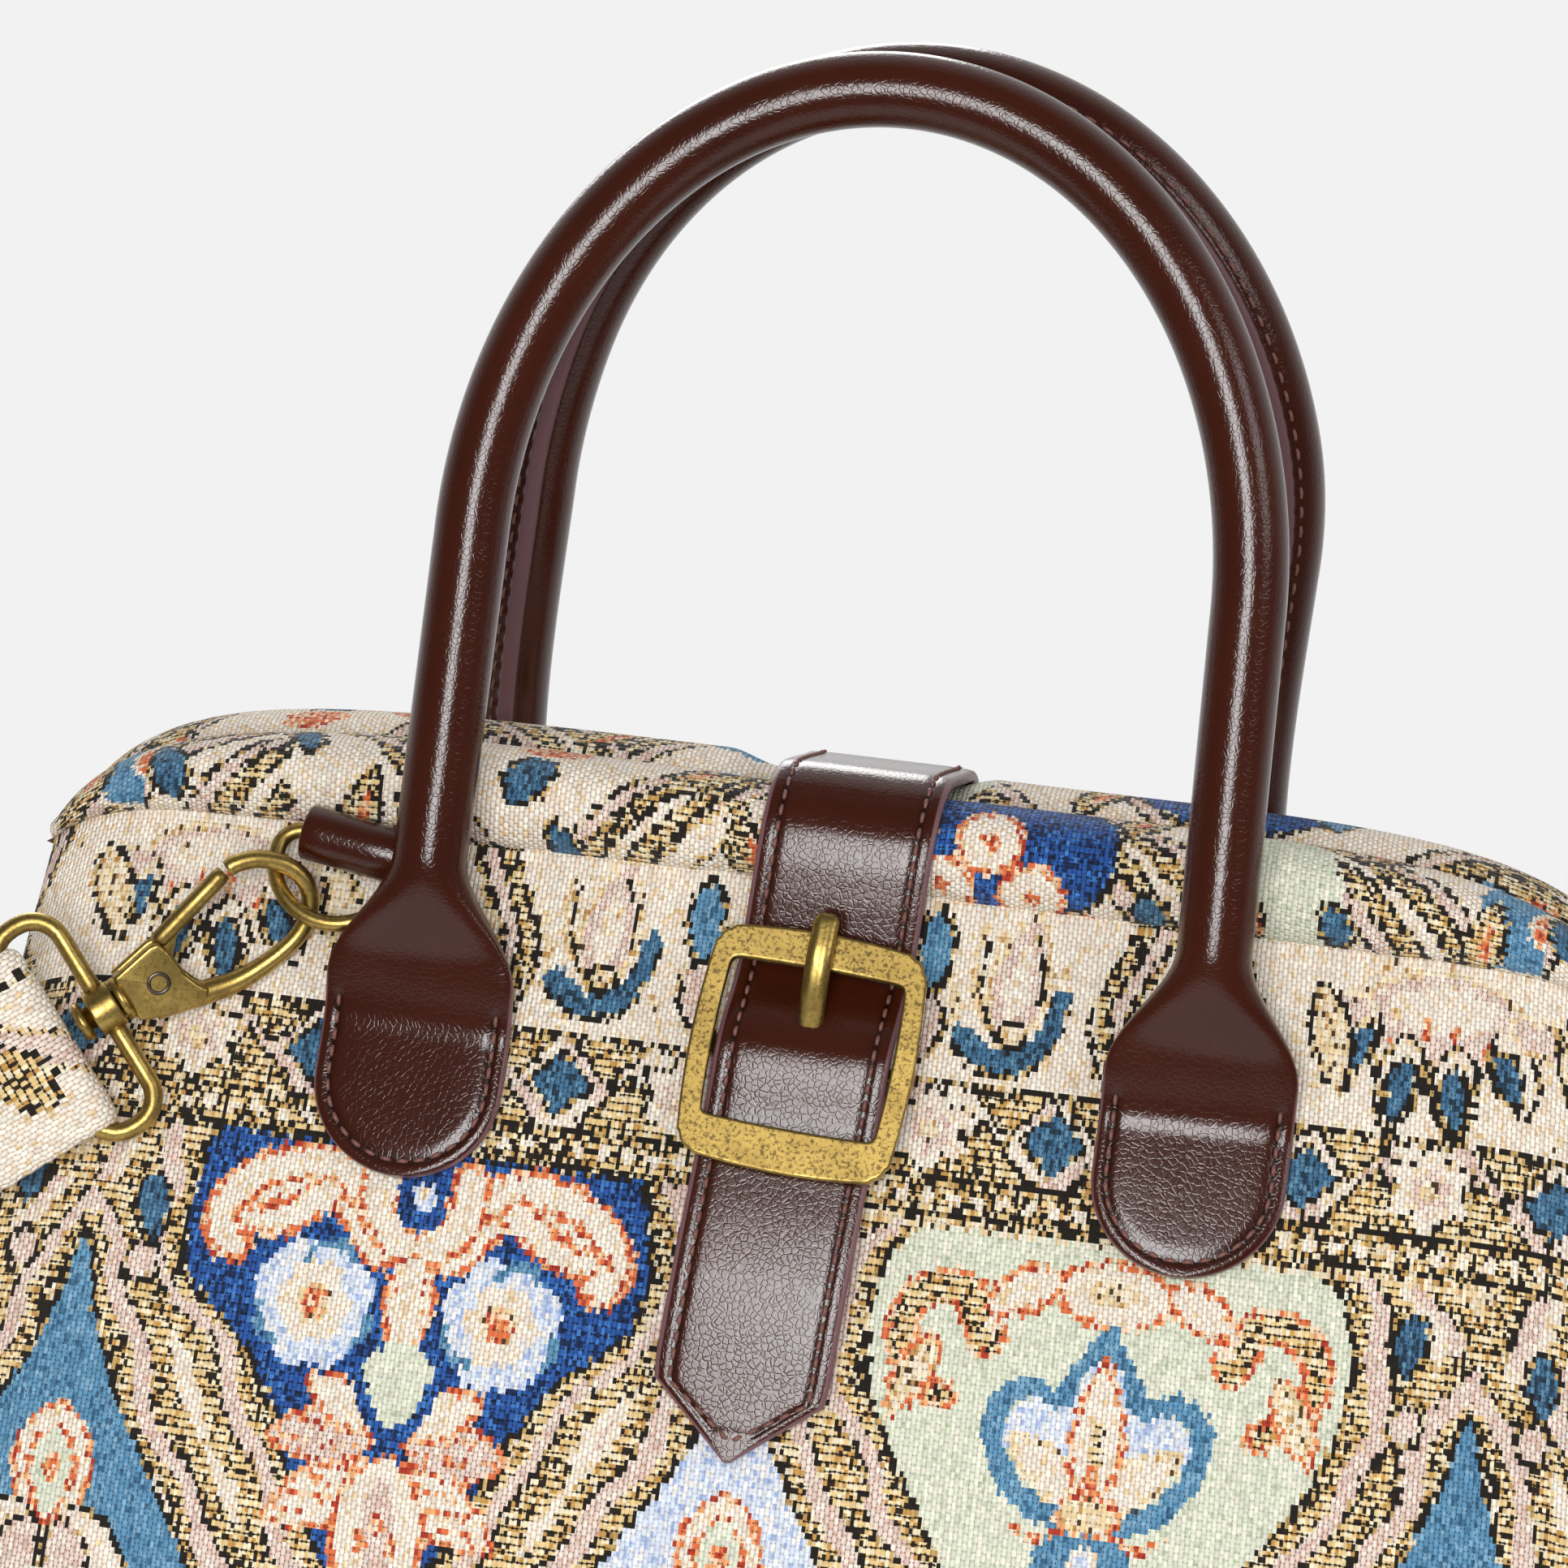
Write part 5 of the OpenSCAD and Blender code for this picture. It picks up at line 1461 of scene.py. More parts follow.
def strap_section(half, q):
    """Across and out distances of the strap, its painted edge and its pressed line."""
    a = half * spow(np.cos(q), 7)
    b = STRAP_T / 2 * spow(np.sin(q), 5)
    inset = half - np.abs(a)
    press = np.exp(-((inset - STRAP_INSET) / 0.6) ** 2) * (half > 6)
    b = b - np.sign(b) * STRAP_PRESS * press
    # A fine line between the strap's two layers
    seam = np.exp(-(b / 0.16) ** 2) * (np.abs(np.cos(q)) > 0.9)
    a = a - np.sign(a) * 0.16 * seam
    return a, b, np.clip(1.3 - inset / 0.9, 0, 1), press


class BAG_OT_closure(bpy.types.Operator):
    """Adds the closure strap, its stitching and the chape under it"""

    bl_idname = "carpet_bag.add_closure"
    bl_label = "Closure strap"

    def execute(self, context):
        sizes = context.scene.bag_sizes
        line, total, bar = closure_line()
        s = np.linspace(0, total, len(line))
        line = line + np.stack([STRAP_SKEW * (bar - s), 0 * s, 0 * s], 1)
        t = tangents(line)
        e1 = np.repeat([[1.0, 0, 0]], len(line), 0)
        e1 = unit(e1 - t * np.sum(e1 * t, 1, keepdims=True))
        e2 = np.cross(e1, t)
        left = total - s
        half = STRAP_W / 2 * np.clip((left + 0.5) / (STRAP_POINT + 0.5), 0, 1)
        soft = STRAP_W / 2 * (1 - 0.02 * np.exp(-((left - STRAP_POINT) / 2.0) ** 2))
        half = np.minimum(np.maximum(half, 0.35), soft)
        q = section_angles(LEATHER_SIDES)
        sections = [strap_section(h, q) for h in half]
        strap = leather_strip("closure_strap_leather", line, e1, e2, sections)
        finish_piece(strap, "bag", leather(), ["closure_strap"])
        self.add_thread(sizes, line, s, total, e1, e2)
        self.add_chape()
        return {"FINISHED"}

    def add_thread(self, sizes, line, s, total, e1, e2):
        """Stitching along both edges and round the point."""
        # Outwards is up over the casings, and to the front further down
        hint = np.where((s < 0.42 * total)[:, None], [0, 0.3, 1], [0, -1, 0.2])
        outward = e2 * np.where(np.sum(e2 * hint, 1, keepdims=True) > 0, 1, -1)
        seat = STRAP_T / 2 - STRAP_PRESS
        keep = np.arange(len(line))[(s > 4) & (s < total - STRAP_POINT + 0.6)]
        across = e1[keep] * (STRAP_W / 2 - STRAP_INSET)
        left = line[keep] - across + outward[keep] * seat
        right = line[keep] + across + outward[keep] * seat
        tip = line[-1] + outward[-1] * seat + unit(line[-12] - line[-1]) * 3.6
        steps = 12
        row = np.concatenate([left, np.linspace(left[-1], tip, steps)[1:],
                              np.linspace(tip, right[-1], steps)[1:], right[::-1][1:]])
        at_tip = np.repeat(outward[-1:], 2 * (steps - 1), 0)
        out = np.concatenate([outward[keep], at_tip, outward[keep][::-1][1:]])
        points, faces = stitches(row, out, sizes.thread_pitch / MM, sizes.thread_d / MM)
        obj = make_object("closure_strap_thread", points, faces, outward=False)
        finish_piece(obj, "bag", sewing_thread())

    def add_chape(self):
        """Leather strip folded round the buckle's middle bar."""
        r = BAR_D / 2 + 0.15 + CHAPE_T / 2
        p_low = np.linspace(-CHAPE_L, -1, 30)
        sag = np.array([(depth_at(BUCKLE_Z + p * COS_LEAN) - depth_at(BUCKLE_Z) + p * SIN_LEAN) * COS_LEAN
                        for p in p_low])
        back = np.stack([0 * p_low, -(sag + GAP + CHAPE_T / 2), p_low], 1)
        q = np.linspace(0, np.pi, 20)
        fold = np.stack([0 * q, -(BAR_N - r * np.cos(q)), r * np.sin(q)], 1)
        front_n = mix(BAR_N + r, GAP + 1.5 * CHAPE_T + 0.2, ease((-p_low[::-1]) / 12))
        front = np.stack([0 * p_low, -(sag[::-1] + front_n), p_low[::-1]], 1)
        path = np.concatenate([back, fold[1:-1], front])
        t = tangents(path)
        e1 = np.repeat([[1.0, 0, 0]], len(path), 0)
        e2 = np.cross(t, e1)
        q = section_angles(32)
        half_w = (STRAP_W - 3) / 2
        parts = []
        slot = PRONG_W / 2 + GAP
        for hand in (-1, 1):
            wide = (half_w - slot) / 2
            middle = hand * (half_w + slot) / 2
            rings = [path[i] + (middle + wide * spow(np.cos(q), 9))[:, None] * e1[i]
                     + (CHAPE_T / 2 * spow(np.sin(q), 4))[:, None] * e2[i] for i in range(len(path))]
            parts.append(tube(rings))
        points, faces = join_parts(parts)
        obj = make_object("buckle_chape_leather", to_bag(points @ SKEW_TURN.T, BUCKLE_Z), faces)
        set_values(obj, "edge", np.zeros(len(points)))
        finish_piece(obj, "bag", leather(), ["buckle_chape"])


class BAG_OT_buckle(bpy.types.Operator):
    """Adds the buckle's frame and its prong"""

    bl_idname = "carpet_bag.add_buckle"
    bl_label = "Buckle"

    def execute(self, context):
        metal = antique_brass()
        n = 160
        # Outer edge: four bowed sides; inner edge: a window with small round corners
        outer = self.edge(n, BUCKLE_W / 2, BUCKLE_H / 2, -BUCKLE_H / 2, 1.7, 1.8, 2.2)
        inner = self.edge(n, (STRAP_W + 1) / 2, WINDOW_TOP, WINDOW_LOW, 0.5, 0.35, 1.2)
        across = inner - outer
        width = np.linalg.norm(across, axis=1, keepdims=True)
        direction = across / width
        bevel = 0.55
        profile = []
        for a in np.linspace(0, np.pi / 2, 5):
            profile.append((bevel * (1 - math.cos(a)), BUCKLE_T - bevel * (1 - math.sin(a))))
        profile.append((bevel + 0.12, BUCKLE_T))
        rings = [(off, None, h) for off, h in profile]
        rings += [(None, share, BUCKLE_T) for share in (0.35, 0.5, 0.65)]
        rings += [(-off, None, h) for off, h in reversed(profile)]
        satin = [0.0] * 4 + [0.5, 1.0] + [1.0] * 3 + [1.0, 0.5] + [0.0] * 6
        rings += [(-0.35, None, 0.0), (0.35, None, 0.0)]
        loops = []
        for off, share, h in rings:
            if share is not None:
                p = outer + across * share
            elif off >= 0:
                p = outer + direction * off
            else:
                p = inner + direction * off
            loops.append(np.stack([p[:, 0], np.full(n, -(BUCKLE_N + h)), p[:, 1]], 1))
        loops = np.array(loops).transpose(1, 0, 2)
        parts = [tube(loops, closed=True)]
        bar_end = STRAP_W / 2 + 0.6
        parts.append(wire([(x, -BAR_N, 0) for x in (-bar_end, 0, bar_end)], BAR_D, (0, 0, 1)))
        # Lugs that carry the bar behind the frame's sides
        side = (STRAP_W + 1) / 2
        rim = BUCKLE_W / 2 - 0.4
        q = section_angles(24)
        for hand in (-1, 1):
            x = hand * (side + rim) / 2 + (rim - side) / 2 * spow(np.cos(q), 5)
            z = 2.2 * spow(np.sin(q), 5)
            depths = np.linspace(-BAR_N + BAR_D / 2, -BUCKLE_N - 0.3, 5)
            parts.append(tube([np.stack([x, np.full(24, y), z], 1) for y in depths]))
        points, faces = join_parts(parts)
        obj = make_object("buckle_frame_metal", to_bag(points @ SKEW_TURN.T, BUCKLE_Z), faces)
        dull = np.zeros(len(points))
        dull[:n * len(satin)] = np.tile(satin, n)
        set_values(obj, "satin", dull)
        finish_piece(obj, "bag", metal, ["buckle_frame"])
        self.add_prong(metal)
        return {"FINISHED"}

    def edge(self, n, half_w, top, low, bow_side, bow_end, corner):
        """Closed outline with bowed sides and round corners, n points at equal steps."""
        mid = (top + low) / 2
        half_h = (top - low) / 2
        t = np.linspace(-1, 1, 60)
        right = np.stack([half_w - bow_side * t ** 2, mid + half_h * t], 1)
        upper = np.stack([-half_w * t, top - bow_end * t ** 2], 1)
        x_end = half_w - bow_side
        z_end = half_h - bow_end
        right = right[np.abs(right[:, 1] - mid) < z_end - corner]
        upper = upper[np.abs(upper[:, 0]) < x_end - corner]
        q = np.linspace(0, np.pi / 2, 12)
        turn_1 = np.stack([x_end - corner + corner * np.cos(q), mid + z_end - corner + corner * np.sin(q)], 1)
        half_line = np.concatenate([right, turn_1, upper])
        other = np.stack([-half_line[:, 0], 2 * mid - half_line[:, 1]], 1)
        turn_2 = np.stack([-turn_1[::-1, 0], turn_1[::-1, 1]], 1)
        turn_3 = np.stack([turn_1[::-1, 0], 2 * mid - turn_1[::-1, 1]], 1)
        loop = np.concatenate([half_line, turn_2, other, turn_3])
        closed = np.concatenate([loop, loop[:1]])
        return resample(closed, n + 1)[:-1]

    def add_prong(self, metal):
        """Rolled sheet round the bar, up through the strap and over the top bar."""
        over = BUCKLE_N + BUCKLE_T + PRONG_T / 2 + 0.45
        path = spline([(0, -BAR_N - 0.6, 1.9), (0, -mix(BAR_N, over, 0.4), 6),
                       (0, -mix(BAR_N, over, 0.8), 11.5), (0, -over, 16.5),
                       (0, -over - 0.1, BUCKLE_H / 2), (0, -over + 0.2, BUCKLE_H / 2 + 3)], 12)
        t = tangents(path)
        e2 = np.cross(t, [1.0, 0, 0])
        q = section_angles(40)
        last = len(path) - 1
        rings = []
        for i in range(len(path)):
            left = last - i
            k = min(1, math.sqrt(max(0.0, 1 - (1 - (left + 0.6) / 9) ** 2))) if left < 9 else 1
            a = k * PRONG_W / 2 * spow(np.cos(q), 2.3)
            b = k * PRONG_T / 2 * spow(np.sin(q), 2.3)
            groove = np.exp(-(a / 0.22) ** 2) * 0.3
            b = b - np.sign(b) * groove
            rings.append(path[i] + a[:, None] * [1.0, 0, 0] + b[:, None] * e2[i])
        r = BAR_D / 2
        half_curl = [(r + 0.05, 2.9), (r + 1.0, 2.9), (r + 1.2, 2.7)]
        curl = lathe([(a, -b) for a, b in half_curl] + half_curl[::-1])
        curl = place(curl, turn("Y", 90), (0, -BAR_N, 0))
        points, faces = join_parts([tube(rings), curl])
        obj = make_object("buckle_prong_metal", to_bag(points @ SKEW_TURN.T, BUCKLE_Z), faces)
        finish_piece(obj, "bag", metal, ["buckle_prong"])


RING_PLACE = np.array([-85.5, -(GAP + LOOP_D / 2 + 0.4), HARDWARE_DROP / COS_LEAN - 2.2])
RING_SLANT = 9.0
RING_SWING = 8.0


class BAG_OT_rings(bpy.types.Operator):
    """Adds the D-rings and the leather loops that hold them"""

    bl_idname = "carpet_bag.add_rings"
    bl_label = "D-rings"

    def execute(self, context):
        half = (RING_W + RING_WIRE) / 2
        bend = 4.0
        bar = half - bend
        q = np.linspace(0, np.pi / 2, 12)
        line = [np.stack([np.linspace(-bar, bar, 20), np.zeros(20), np.zeros(20)], 1),
                np.stack([bar + bend * np.sin(q), 0 * q, -bend + bend * np.cos(q)], 1)[1:]]
        h = np.linspace(0, np.pi, 48)
        line.append(np.stack([half * np.cos(h), 0 * h, -bend - half * np.sin(h)], 1)[1:])
        line.append(np.stack([-bar - bend * np.cos(q), 0 * q, -bend + bend * np.sin(q)], 1)[1:-1])
        ring = wire(np.concatenate(line), RING_WIRE, (0, 1, 0), 22, closed=True)
        slant = turn("Y", RING_SLANT)
        points, faces = place(ring, slant @ turn("X", -RING_SWING), RING_PLACE)
        front = make_object("front_ring_metal", to_bag(points, HARDWARE_Z), faces)
        back = half_turned(front, "back_ring_metal")
        finish_pair(front, back, antique_brass(), "ring")
        self.add_loops(slant)
        return {"FINISHED"}

    def add_loops(self, slant):
        """Leather strips rolled round the rings' bars, with both ends sewn into the seam."""
        r_in, r_out = RING_WIRE / 2 + 0.05, LOOP_D / 2
        w = LOOP_W / 2
        far = w + 3.5
        profile = [(r_in, -w + 0.3), (r_in + 0.3, -w), (r_out - 0.5, -w), (r_out - 0.15, -w + 0.15),
                   (r_out, -w + 0.5), (r_out, -w * 0.5), (r_out, 0), (r_out, w * 0.5), (r_out, far - 0.5),
                   (r_out - 0.15, far - 0.15), (r_out - 0.5, far), (r_in + 0.3, far), (r_in, far - 0.3)]
        q = section_angles(24)
        x = (w - 0.02) * spow(np.cos(q), 9)
        y = 0.6 + 2.1 * spow(np.sin(q), 4)
        tail = tube([np.stack([x, y, np.full(24, z)], 1) for z in (0.0, 2.5, 4.2, 4.6)])
        points, faces = join_parts([collar(profile), tail])
        points = points @ slant.T + RING_PLACE
        loop = make_object("front_ring_loop_leather", to_bag(points, HARDWARE_Z), faces)
        set_values(loop, "edge", np.zeros(len(points)))
        twin = half_turned(loop, "back_ring_loop_leather")
        finish_pair(loop, twin, leather(), "ring_loop")


PIVOT = (6.2, -0.4)
NOSE = [(3.5, -4.3), (8, -5.6), (13, -7.2), (19, -8.4), (26.5, -8.1), (32, -6.6), (35.8, -3.4), (37.2, 0.6),
        (36, 4.9), (32.6, 8.5), (29, 10), (26.7, 10.1)]
PLATE = [(0, -4.6), (4.5, -6.4), (9, -7.6), (12, -7.6), (13.2, -6.2), (12, -4.4), (10.9, -1.5), (10.6, 3.2),
         (9.8, 5.9), (8.2, 6.2), (0, 4.6)]
GATE_TIP = np.array([25.9, 9.9])
GATE_FOOT = np.array([9.2, 5.3])


class BAG_OT_hooks(bpy.types.Operator):
    """Adds the snap hooks, their gates and their swivel eyes"""

    bl_idname = "carpet_bag.add_hooks"
    bl_label = "Snap hooks"

    def execute(self, context):
        self.add_pair("hook", self.hook(), HOOK_ROLL, "bag")
        self.add_pair("gate", self.gate(), HOOK_ROLL, None)
        self.add_pair("eye", self.eye(), EYE_ROLL, None)
        self.add_pair("gate_rivet", self.rivet(), HOOK_ROLL, "bag")
        return {"FINISHED"}

    def add_pair(self, kind, part, roll, body):
        points, faces = part
        front = make_object(f"front_{kind}_metal", hook_to_bag(points, roll), faces)
        back = half_turned(front, f"back_{kind}_metal")
        metal = dark_rivet() if kind == "gate_rivet" else antique_brass()
        finish_pair(front, back, metal, kind, body)

    def rivet(self):
        """Hollow rivet through the plates, with a sunk middle on each side."""
        top = HOOK_T / 2
        half = [(0.5, top - 0.15), (0.75, top - 0.3), (1.25, top - 0.3), (1.45, top + 0.1),
                (1.75, top + 0.25), (2.1, top + 0.12), (2.2, top - 0.2), (1.2, top - 0.25)]
        profile = [(r, -z) for r, z in half] + [(r, z) for r, z in reversed(half)]
        return place(lathe(profile, 36), np.eye(3), (*PIVOT, 0))

    def plate(self, outline, low, high, bevel):
        """Flat plate with soft edges from an outline."""
        loop = resample(np.concatenate([outline, outline[:1]]).astype(float), 121)[:-1]
        soft = (loop + 0.5 * (np.roll(loop, 1, 0) + np.roll(loop, -1, 0))) / 2
        t = tangents(np.concatenate([soft, 0 * soft[:, :1]], 1), closed=True)
        inward = np.stack([-t[:, 1], t[:, 0]], 1)
        middle = soft.mean(0)
        if np.sum(inward * (middle - soft)) < 0:
            inward = -inward
        rings = []
        turns = np.linspace(0, np.pi / 2, 5)
        for level, sign, angles in ((low, 1, turns), (high, -1, turns[::-1])):
            for a in angles:
                edge = soft + inward * bevel * (1 - math.sin(a))
                height = level + sign * bevel * (1 - math.cos(a))
                rings.append(np.concatenate([edge, np.full((len(edge), 1), height)], 1))
        return tube(rings)

    def hook(self):
        nose = spline([(a, b, 0.0) for a, b in NOSE], 8)
        k = np.linspace(0, 1, len(nose))
        d = mix(NOSE_D, 5.2, 1 - ease(k / 0.42)) * np.where(k > 0.985, 0.9, 1)
        parts = [wire(nose, d, (0, 0, 1), 24)]
        for low, high in ((-HOOK_T / 2, -1.15), (1.15, HOOK_T / 2)):
            parts.append(self.plate(np.array(PLATE), low, high, 0.7))
        parts.append(self.plate(np.array([(0, -4.5), (1.3, -5), (1.3, 4.6), (0, 4.4)]), -1.3, 1.3, 0.1))
        r = STEM_D / 2
        stem = lathe([(r + 1.6, 0.2), (r + 2, 0), (r + 2, -1.1), (r + 1.6, -1.4), (r, -1.45), (r, -8.0),
                      (r + 1.3, -8.0), (r + 1.5, -7.8), (r + 1.5, -8.9), (r + 0.9, -9.6), (0.4, -9.8)])
        parts.append(place(stem, turn("Y", 90), (0, 0, 0)))
        return join_parts(parts)

    def gate(self):
        run = GATE_TIP - GATE_FOOT
        path = np.array([(*(GATE_FOOT + run * t), 0.0) for t in np.linspace(0, 1, 16)])
        d = np.full(16, 3.3)
        d[-1] = 2.8
        d[0] = 2.2
        parts = [wire(path, d, (0, 0, 1), 20)]
        px, py = PIVOT
        lug = np.array([(px - 2.5, py), (px - 1.6, py - 2), (px, py - 2.55), (px + 1.8, py - 1.8),
                        (px + 2.6, py), (14, 5.7), (13.4, 7.7), (11, 7.1)])
        parts.append(self.plate(lug, -0.95, 0.95, 0.1))
        return join_parts(parts)

    def eye(self):
        half = SLING_W / 2 + EYE_WIRE / 2 + 0.9
        mid = -4.15
        corner = 5.6
        q = np.linspace(0, np.pi / 2, 7)
        inner = half - corner
        near_bend = [(mid - corner + corner * math.cos(a), inner + corner * math.sin(a)) for a in q]
        far_bend = [(EYE_FAR + corner - corner * math.sin(a), inner + corner * math.cos(a)) for a in q]
        side = [(mid, 3.4), (mid, 9.0), *near_bend, *far_bend, (EYE_FAR, 7.0), (EYE_FAR, 0)]
        line = side + [(a, -b) for a, b in side[:-1][::-1]]
        loop = spline([(a, b, 0.0) for a, b in line], 3)
        parts = [wire(loop, EYE_WIRE, (0, 0, 1), 20)]
        r_in, r_out = STEM_D / 2 + 0.05, STEM_D / 2 + 2.1
        parts.append(collar([
            (r_in, -6.6), (r_out - 0.6, -6.6), (r_out - 0.3, -6.58), (r_out - 0.08, -6.45), (r_out, -6.2),
            (r_out, -5.9), (r_out, -2.4), (r_out, -2.1), (r_out - 0.08, -1.85), (r_out - 0.3, -1.72),
            (r_out - 0.6, -1.7), (r_in, -1.7)]))
        return join_parts(parts)


# Materials

# Size of the leather's grain, in metres
GRAIN_SIZE = 0.0011


def feed(tree, node, inputs):
    """Sets or links a node's inputs."""
    for key, value in inputs.items():
        if isinstance(value, bpy.types.NodeSocket):
            tree.links.new(value, node.inputs[key])
        else:
            node.inputs[key].default_value = value


def add(tree, kind, inputs=None, **settings):
    """Node with its settings, and its inputs set or linked."""
    node = tree.nodes.new(kind)
    for key, value in settings.items():
        setattr(node, key, value)
    feed(tree, node, inputs or {})
    return node


def calc(tree, operation, *values, clamp=False):
    """Output of a Math node."""
    node = add(tree, "ShaderNodeMath", dict(enumerate(values)), operation=operation, use_clamp=clamp)
    return node.outputs[0]


def times(tree, a, b):
    return calc(tree, "MULTIPLY", a, b)


def plus(tree, a, b):
    return calc(tree, "ADD", a, b)


def ramp(tree, value, low, high):
    """Smooth step of a value from 0 to 1."""
    inputs = {"Value": value, "From Min": low, "From Max": high}
    return add(tree, "ShaderNodeMapRange", inputs, interpolation_type="SMOOTHSTEP").outputs[0]


def blend_colour(tree, factor, a, b, kind="MIX"):
    return add(tree, "ShaderNodeMix", {0: factor, 6: a, 7: b}, data_type="RGBA", blend_type=kind).outputs[2]


def vector(tree, operation, inputs, output=0):
    """Output of a Vector Math node."""
    return add(tree, "ShaderNodeVectorMath", inputs, operation=operation).outputs[output]


def noise(tree, place_in, scale, detail=2.0, rough=0.5):
    inputs = {"Vector": place_in, "Scale": scale, "Detail": detail, "Roughness": rough}
    return add(tree, "ShaderNodeTexNoise", inputs).outputs["Fac"]


def once(store, name):
    """Lets a maker run once: later calls give what is stored under that name."""
    def wrap(make):
        def get():
            return getattr(bpy.data, store).get(name) or make(name)
        return get
    return wrap


def group(name, inputs, outputs):
    """Empty shader node group; returns its tree, its inputs by name and its exit."""
    tree = bpy.data.node_groups.new(name, "ShaderNodeTree")
    for label, kind in inputs:
        tree.interface.new_socket(name=label, in_out="INPUT", socket_type=kind)
    for label in outputs:
        tree.interface.new_socket(name=label, in_out="OUTPUT", socket_type="NodeSocketFloat")
    return tree, tree.nodes.new("NodeGroupInput").outputs, tree.nodes.new("NodeGroupOutput")


def use_group(tree, source, inputs):
    return add(tree, "ShaderNodeGroup", inputs, node_tree=source).outputs


@once("node_groups", "stitch_weave")
def weave_group(name):
    """Raised stitches in offset columns, from a map that counts stitches."""
    tree, entry, leave = group(name, [("Cells", "NodeSocketVector"), ("Cover", "NodeSocketFloat"),
                                      ("Row", "NodeSocketFloat")], ["Raised", "Height", "Shade"])
    cells = entry["Cells"]
    wobble = add(tree, "ShaderNodeTexNoise", {"Vector": cells, "Scale": 0.35, "Detail": 2.0})
    shift = vector(tree, "SUBTRACT", {0: wobble.outputs["Color"], 1: (0.5, 0.5, 0.5)})
    moved = vector(tree, "ADD", {0: cells, 1: vector(tree, "SCALE", {0: shift, "Scale": 0.5})})
    split = add(tree, "ShaderNodeSeparateXYZ", {0: moved}).outputs
    column = calc(tree, "FLOOR", split[0])
    odd = calc(tree, "MODULO", calc(tree, "ABSOLUTE", column), 2.0)
    along = plus(tree, split[1], times(tree, odd, 0.5))

    def off_middle(value, power):
        """Distance from a stitch's middle, 0 to 1, to a power."""
        off = calc(tree, "ABSOLUTE", calc(tree, "SUBTRACT", calc(tree, "FRACT", value), 0.5))
        return calc(tree, "POWER", calc(tree, "DIVIDE", off, 0.5), power)

    across = off_middle(split[0], 2.2)
    brick = off_middle(along, 3.0)
    rows = off_middle(split[1], 2.2)
    apart = times(tree, plus(tree, across, brick), calc(tree, "SUBTRACT", 1.0, entry["Row"]))
    in_rows = times(tree, plus(tree, rows, times(tree, across, 0.3)), entry["Row"])
    far = plus(tree, apart, in_rows)
    fibre = noise(tree, vector(tree, "MULTIPLY", {0: cells, 1: (7.0, 1.4, 1.0)}), 1.0)
    loose = plus(tree, far, times(tree, fibre, 0.35))
    near = calc(tree, "SUBTRACT", times(tree, entry["Cover"], 1.35), loose)
    height = calc(tree, "SUBTRACT", 1.0, calc(tree, "MINIMUM", far, 1.5))
    stitch_no = add(tree, "ShaderNodeCombineXYZ", {0: column, 1: calc(tree, "FLOOR", along)}).outputs[0]
    chance = add(tree, "ShaderNodeTexWhiteNoise", {"Vector": stitch_no}, noise_dimensions="3D").outputs
    shade = plus(tree, plus(tree, 0.7, times(tree, fibre, 0.42)), times(tree, chance["Value"], 0.18))
    feed(tree, leave, {"Raised": ramp(tree, near, -0.3, 0.12),
                       "Height": plus(tree, height, times(tree, fibre, 0.5)), "Shade": shade})
    return tree


@once("node_groups", "hide_grain")
def hide_group(name):
    """Fine leather grain with soft creases, on the piece's own coordinates."""
    tree, entry, leave = group(name, [("Place", "NodeSocketVector"), ("Size", "NodeSocketFloat")],
                               ["Grain", "Mottle"])
    place_in = entry["Place"]
    scale = calc(tree, "DIVIDE", 1.0, entry["Size"])
    warp = add(tree, "ShaderNodeTexNoise", {"Vector": place_in, "Scale": times(tree, scale, 0.35)})
    moved = vector(tree, "ADD", {0: place_in,
                                 1: vector(tree, "SCALE", {0: warp.outputs["Color"], "Scale": GRAIN_SIZE})})
    cells = add(tree, "ShaderNodeTexVoronoi", {"Vector": moved, "Scale": scale}, feature="DISTANCE_TO_EDGE")
    pores = ramp(tree, cells.outputs["Distance"], 0.0, 0.16)
    fine = noise(tree, place_in, times(tree, scale, 2.6), 3.0, 0.6)
    crease = noise(tree, moved, times(tree, scale, 0.16), 4.0, 0.62)
    grain = plus(tree, times(tree, pores, 0.5), times(tree, fine, 0.35))
    grain = plus(tree, grain, times(tree, crease, 0.55))
    feed(tree, leave, {"Grain": grain, "Mottle": noise(tree, place_in, times(tree, scale, 0.05), 4.0, 0.6)})
    return tree


@once("node_groups", "patina")
def patina_group(name):
    """Rubbed metal: dark film in patches, fine specks and brushed lines."""
    tree, entry, leave = group(name, [("Place", "NodeSocketVector")], ["Film", "Lines", "Specks"])
    place_in = entry["Place"]
    stretch = vector(tree, "MULTIPLY", {0: place_in, 1: (700.0, 700.0, 9000.0)})
    feed(tree, leave, {"Film": ramp(tree, noise(tree, place_in, 170.0, 5.0, 0.62), 0.4, 0.68),
                       "Lines": noise(tree, stretch, 1.0, 3.0, 0.6),
                       "Specks": ramp(tree, noise(tree, place_in, 1500.0, 3.0, 0.65), 0.48, 0.64)})
    return tree


def new_material(name):
    """Material with a Principled shader; returns it, its tree, its shader and Object coordinates."""
    mat = bpy.data.materials.new(name)
    mat.use_nodes = True
    tree = mat.node_tree
    coords = tree.nodes.new("ShaderNodeTexCoord").outputs["Object"]
    return mat, tree, tree.nodes["Principled BSDF"], coords


def rgba(colour, factor=1.0):
    return tuple(c * factor for c in colour[:3]) + (1.0,)


def attribute(tree, name):
    return add(tree, "ShaderNodeAttribute", attribute_name=name).outputs


def bump(tree, height, strength, distance):
    """Normal of a surface with a fine relief."""
    inputs = {"Height": height, "Strength": strength, "Distance": distance}
    return add(tree, "ShaderNodeBump", inputs).outputs[0]


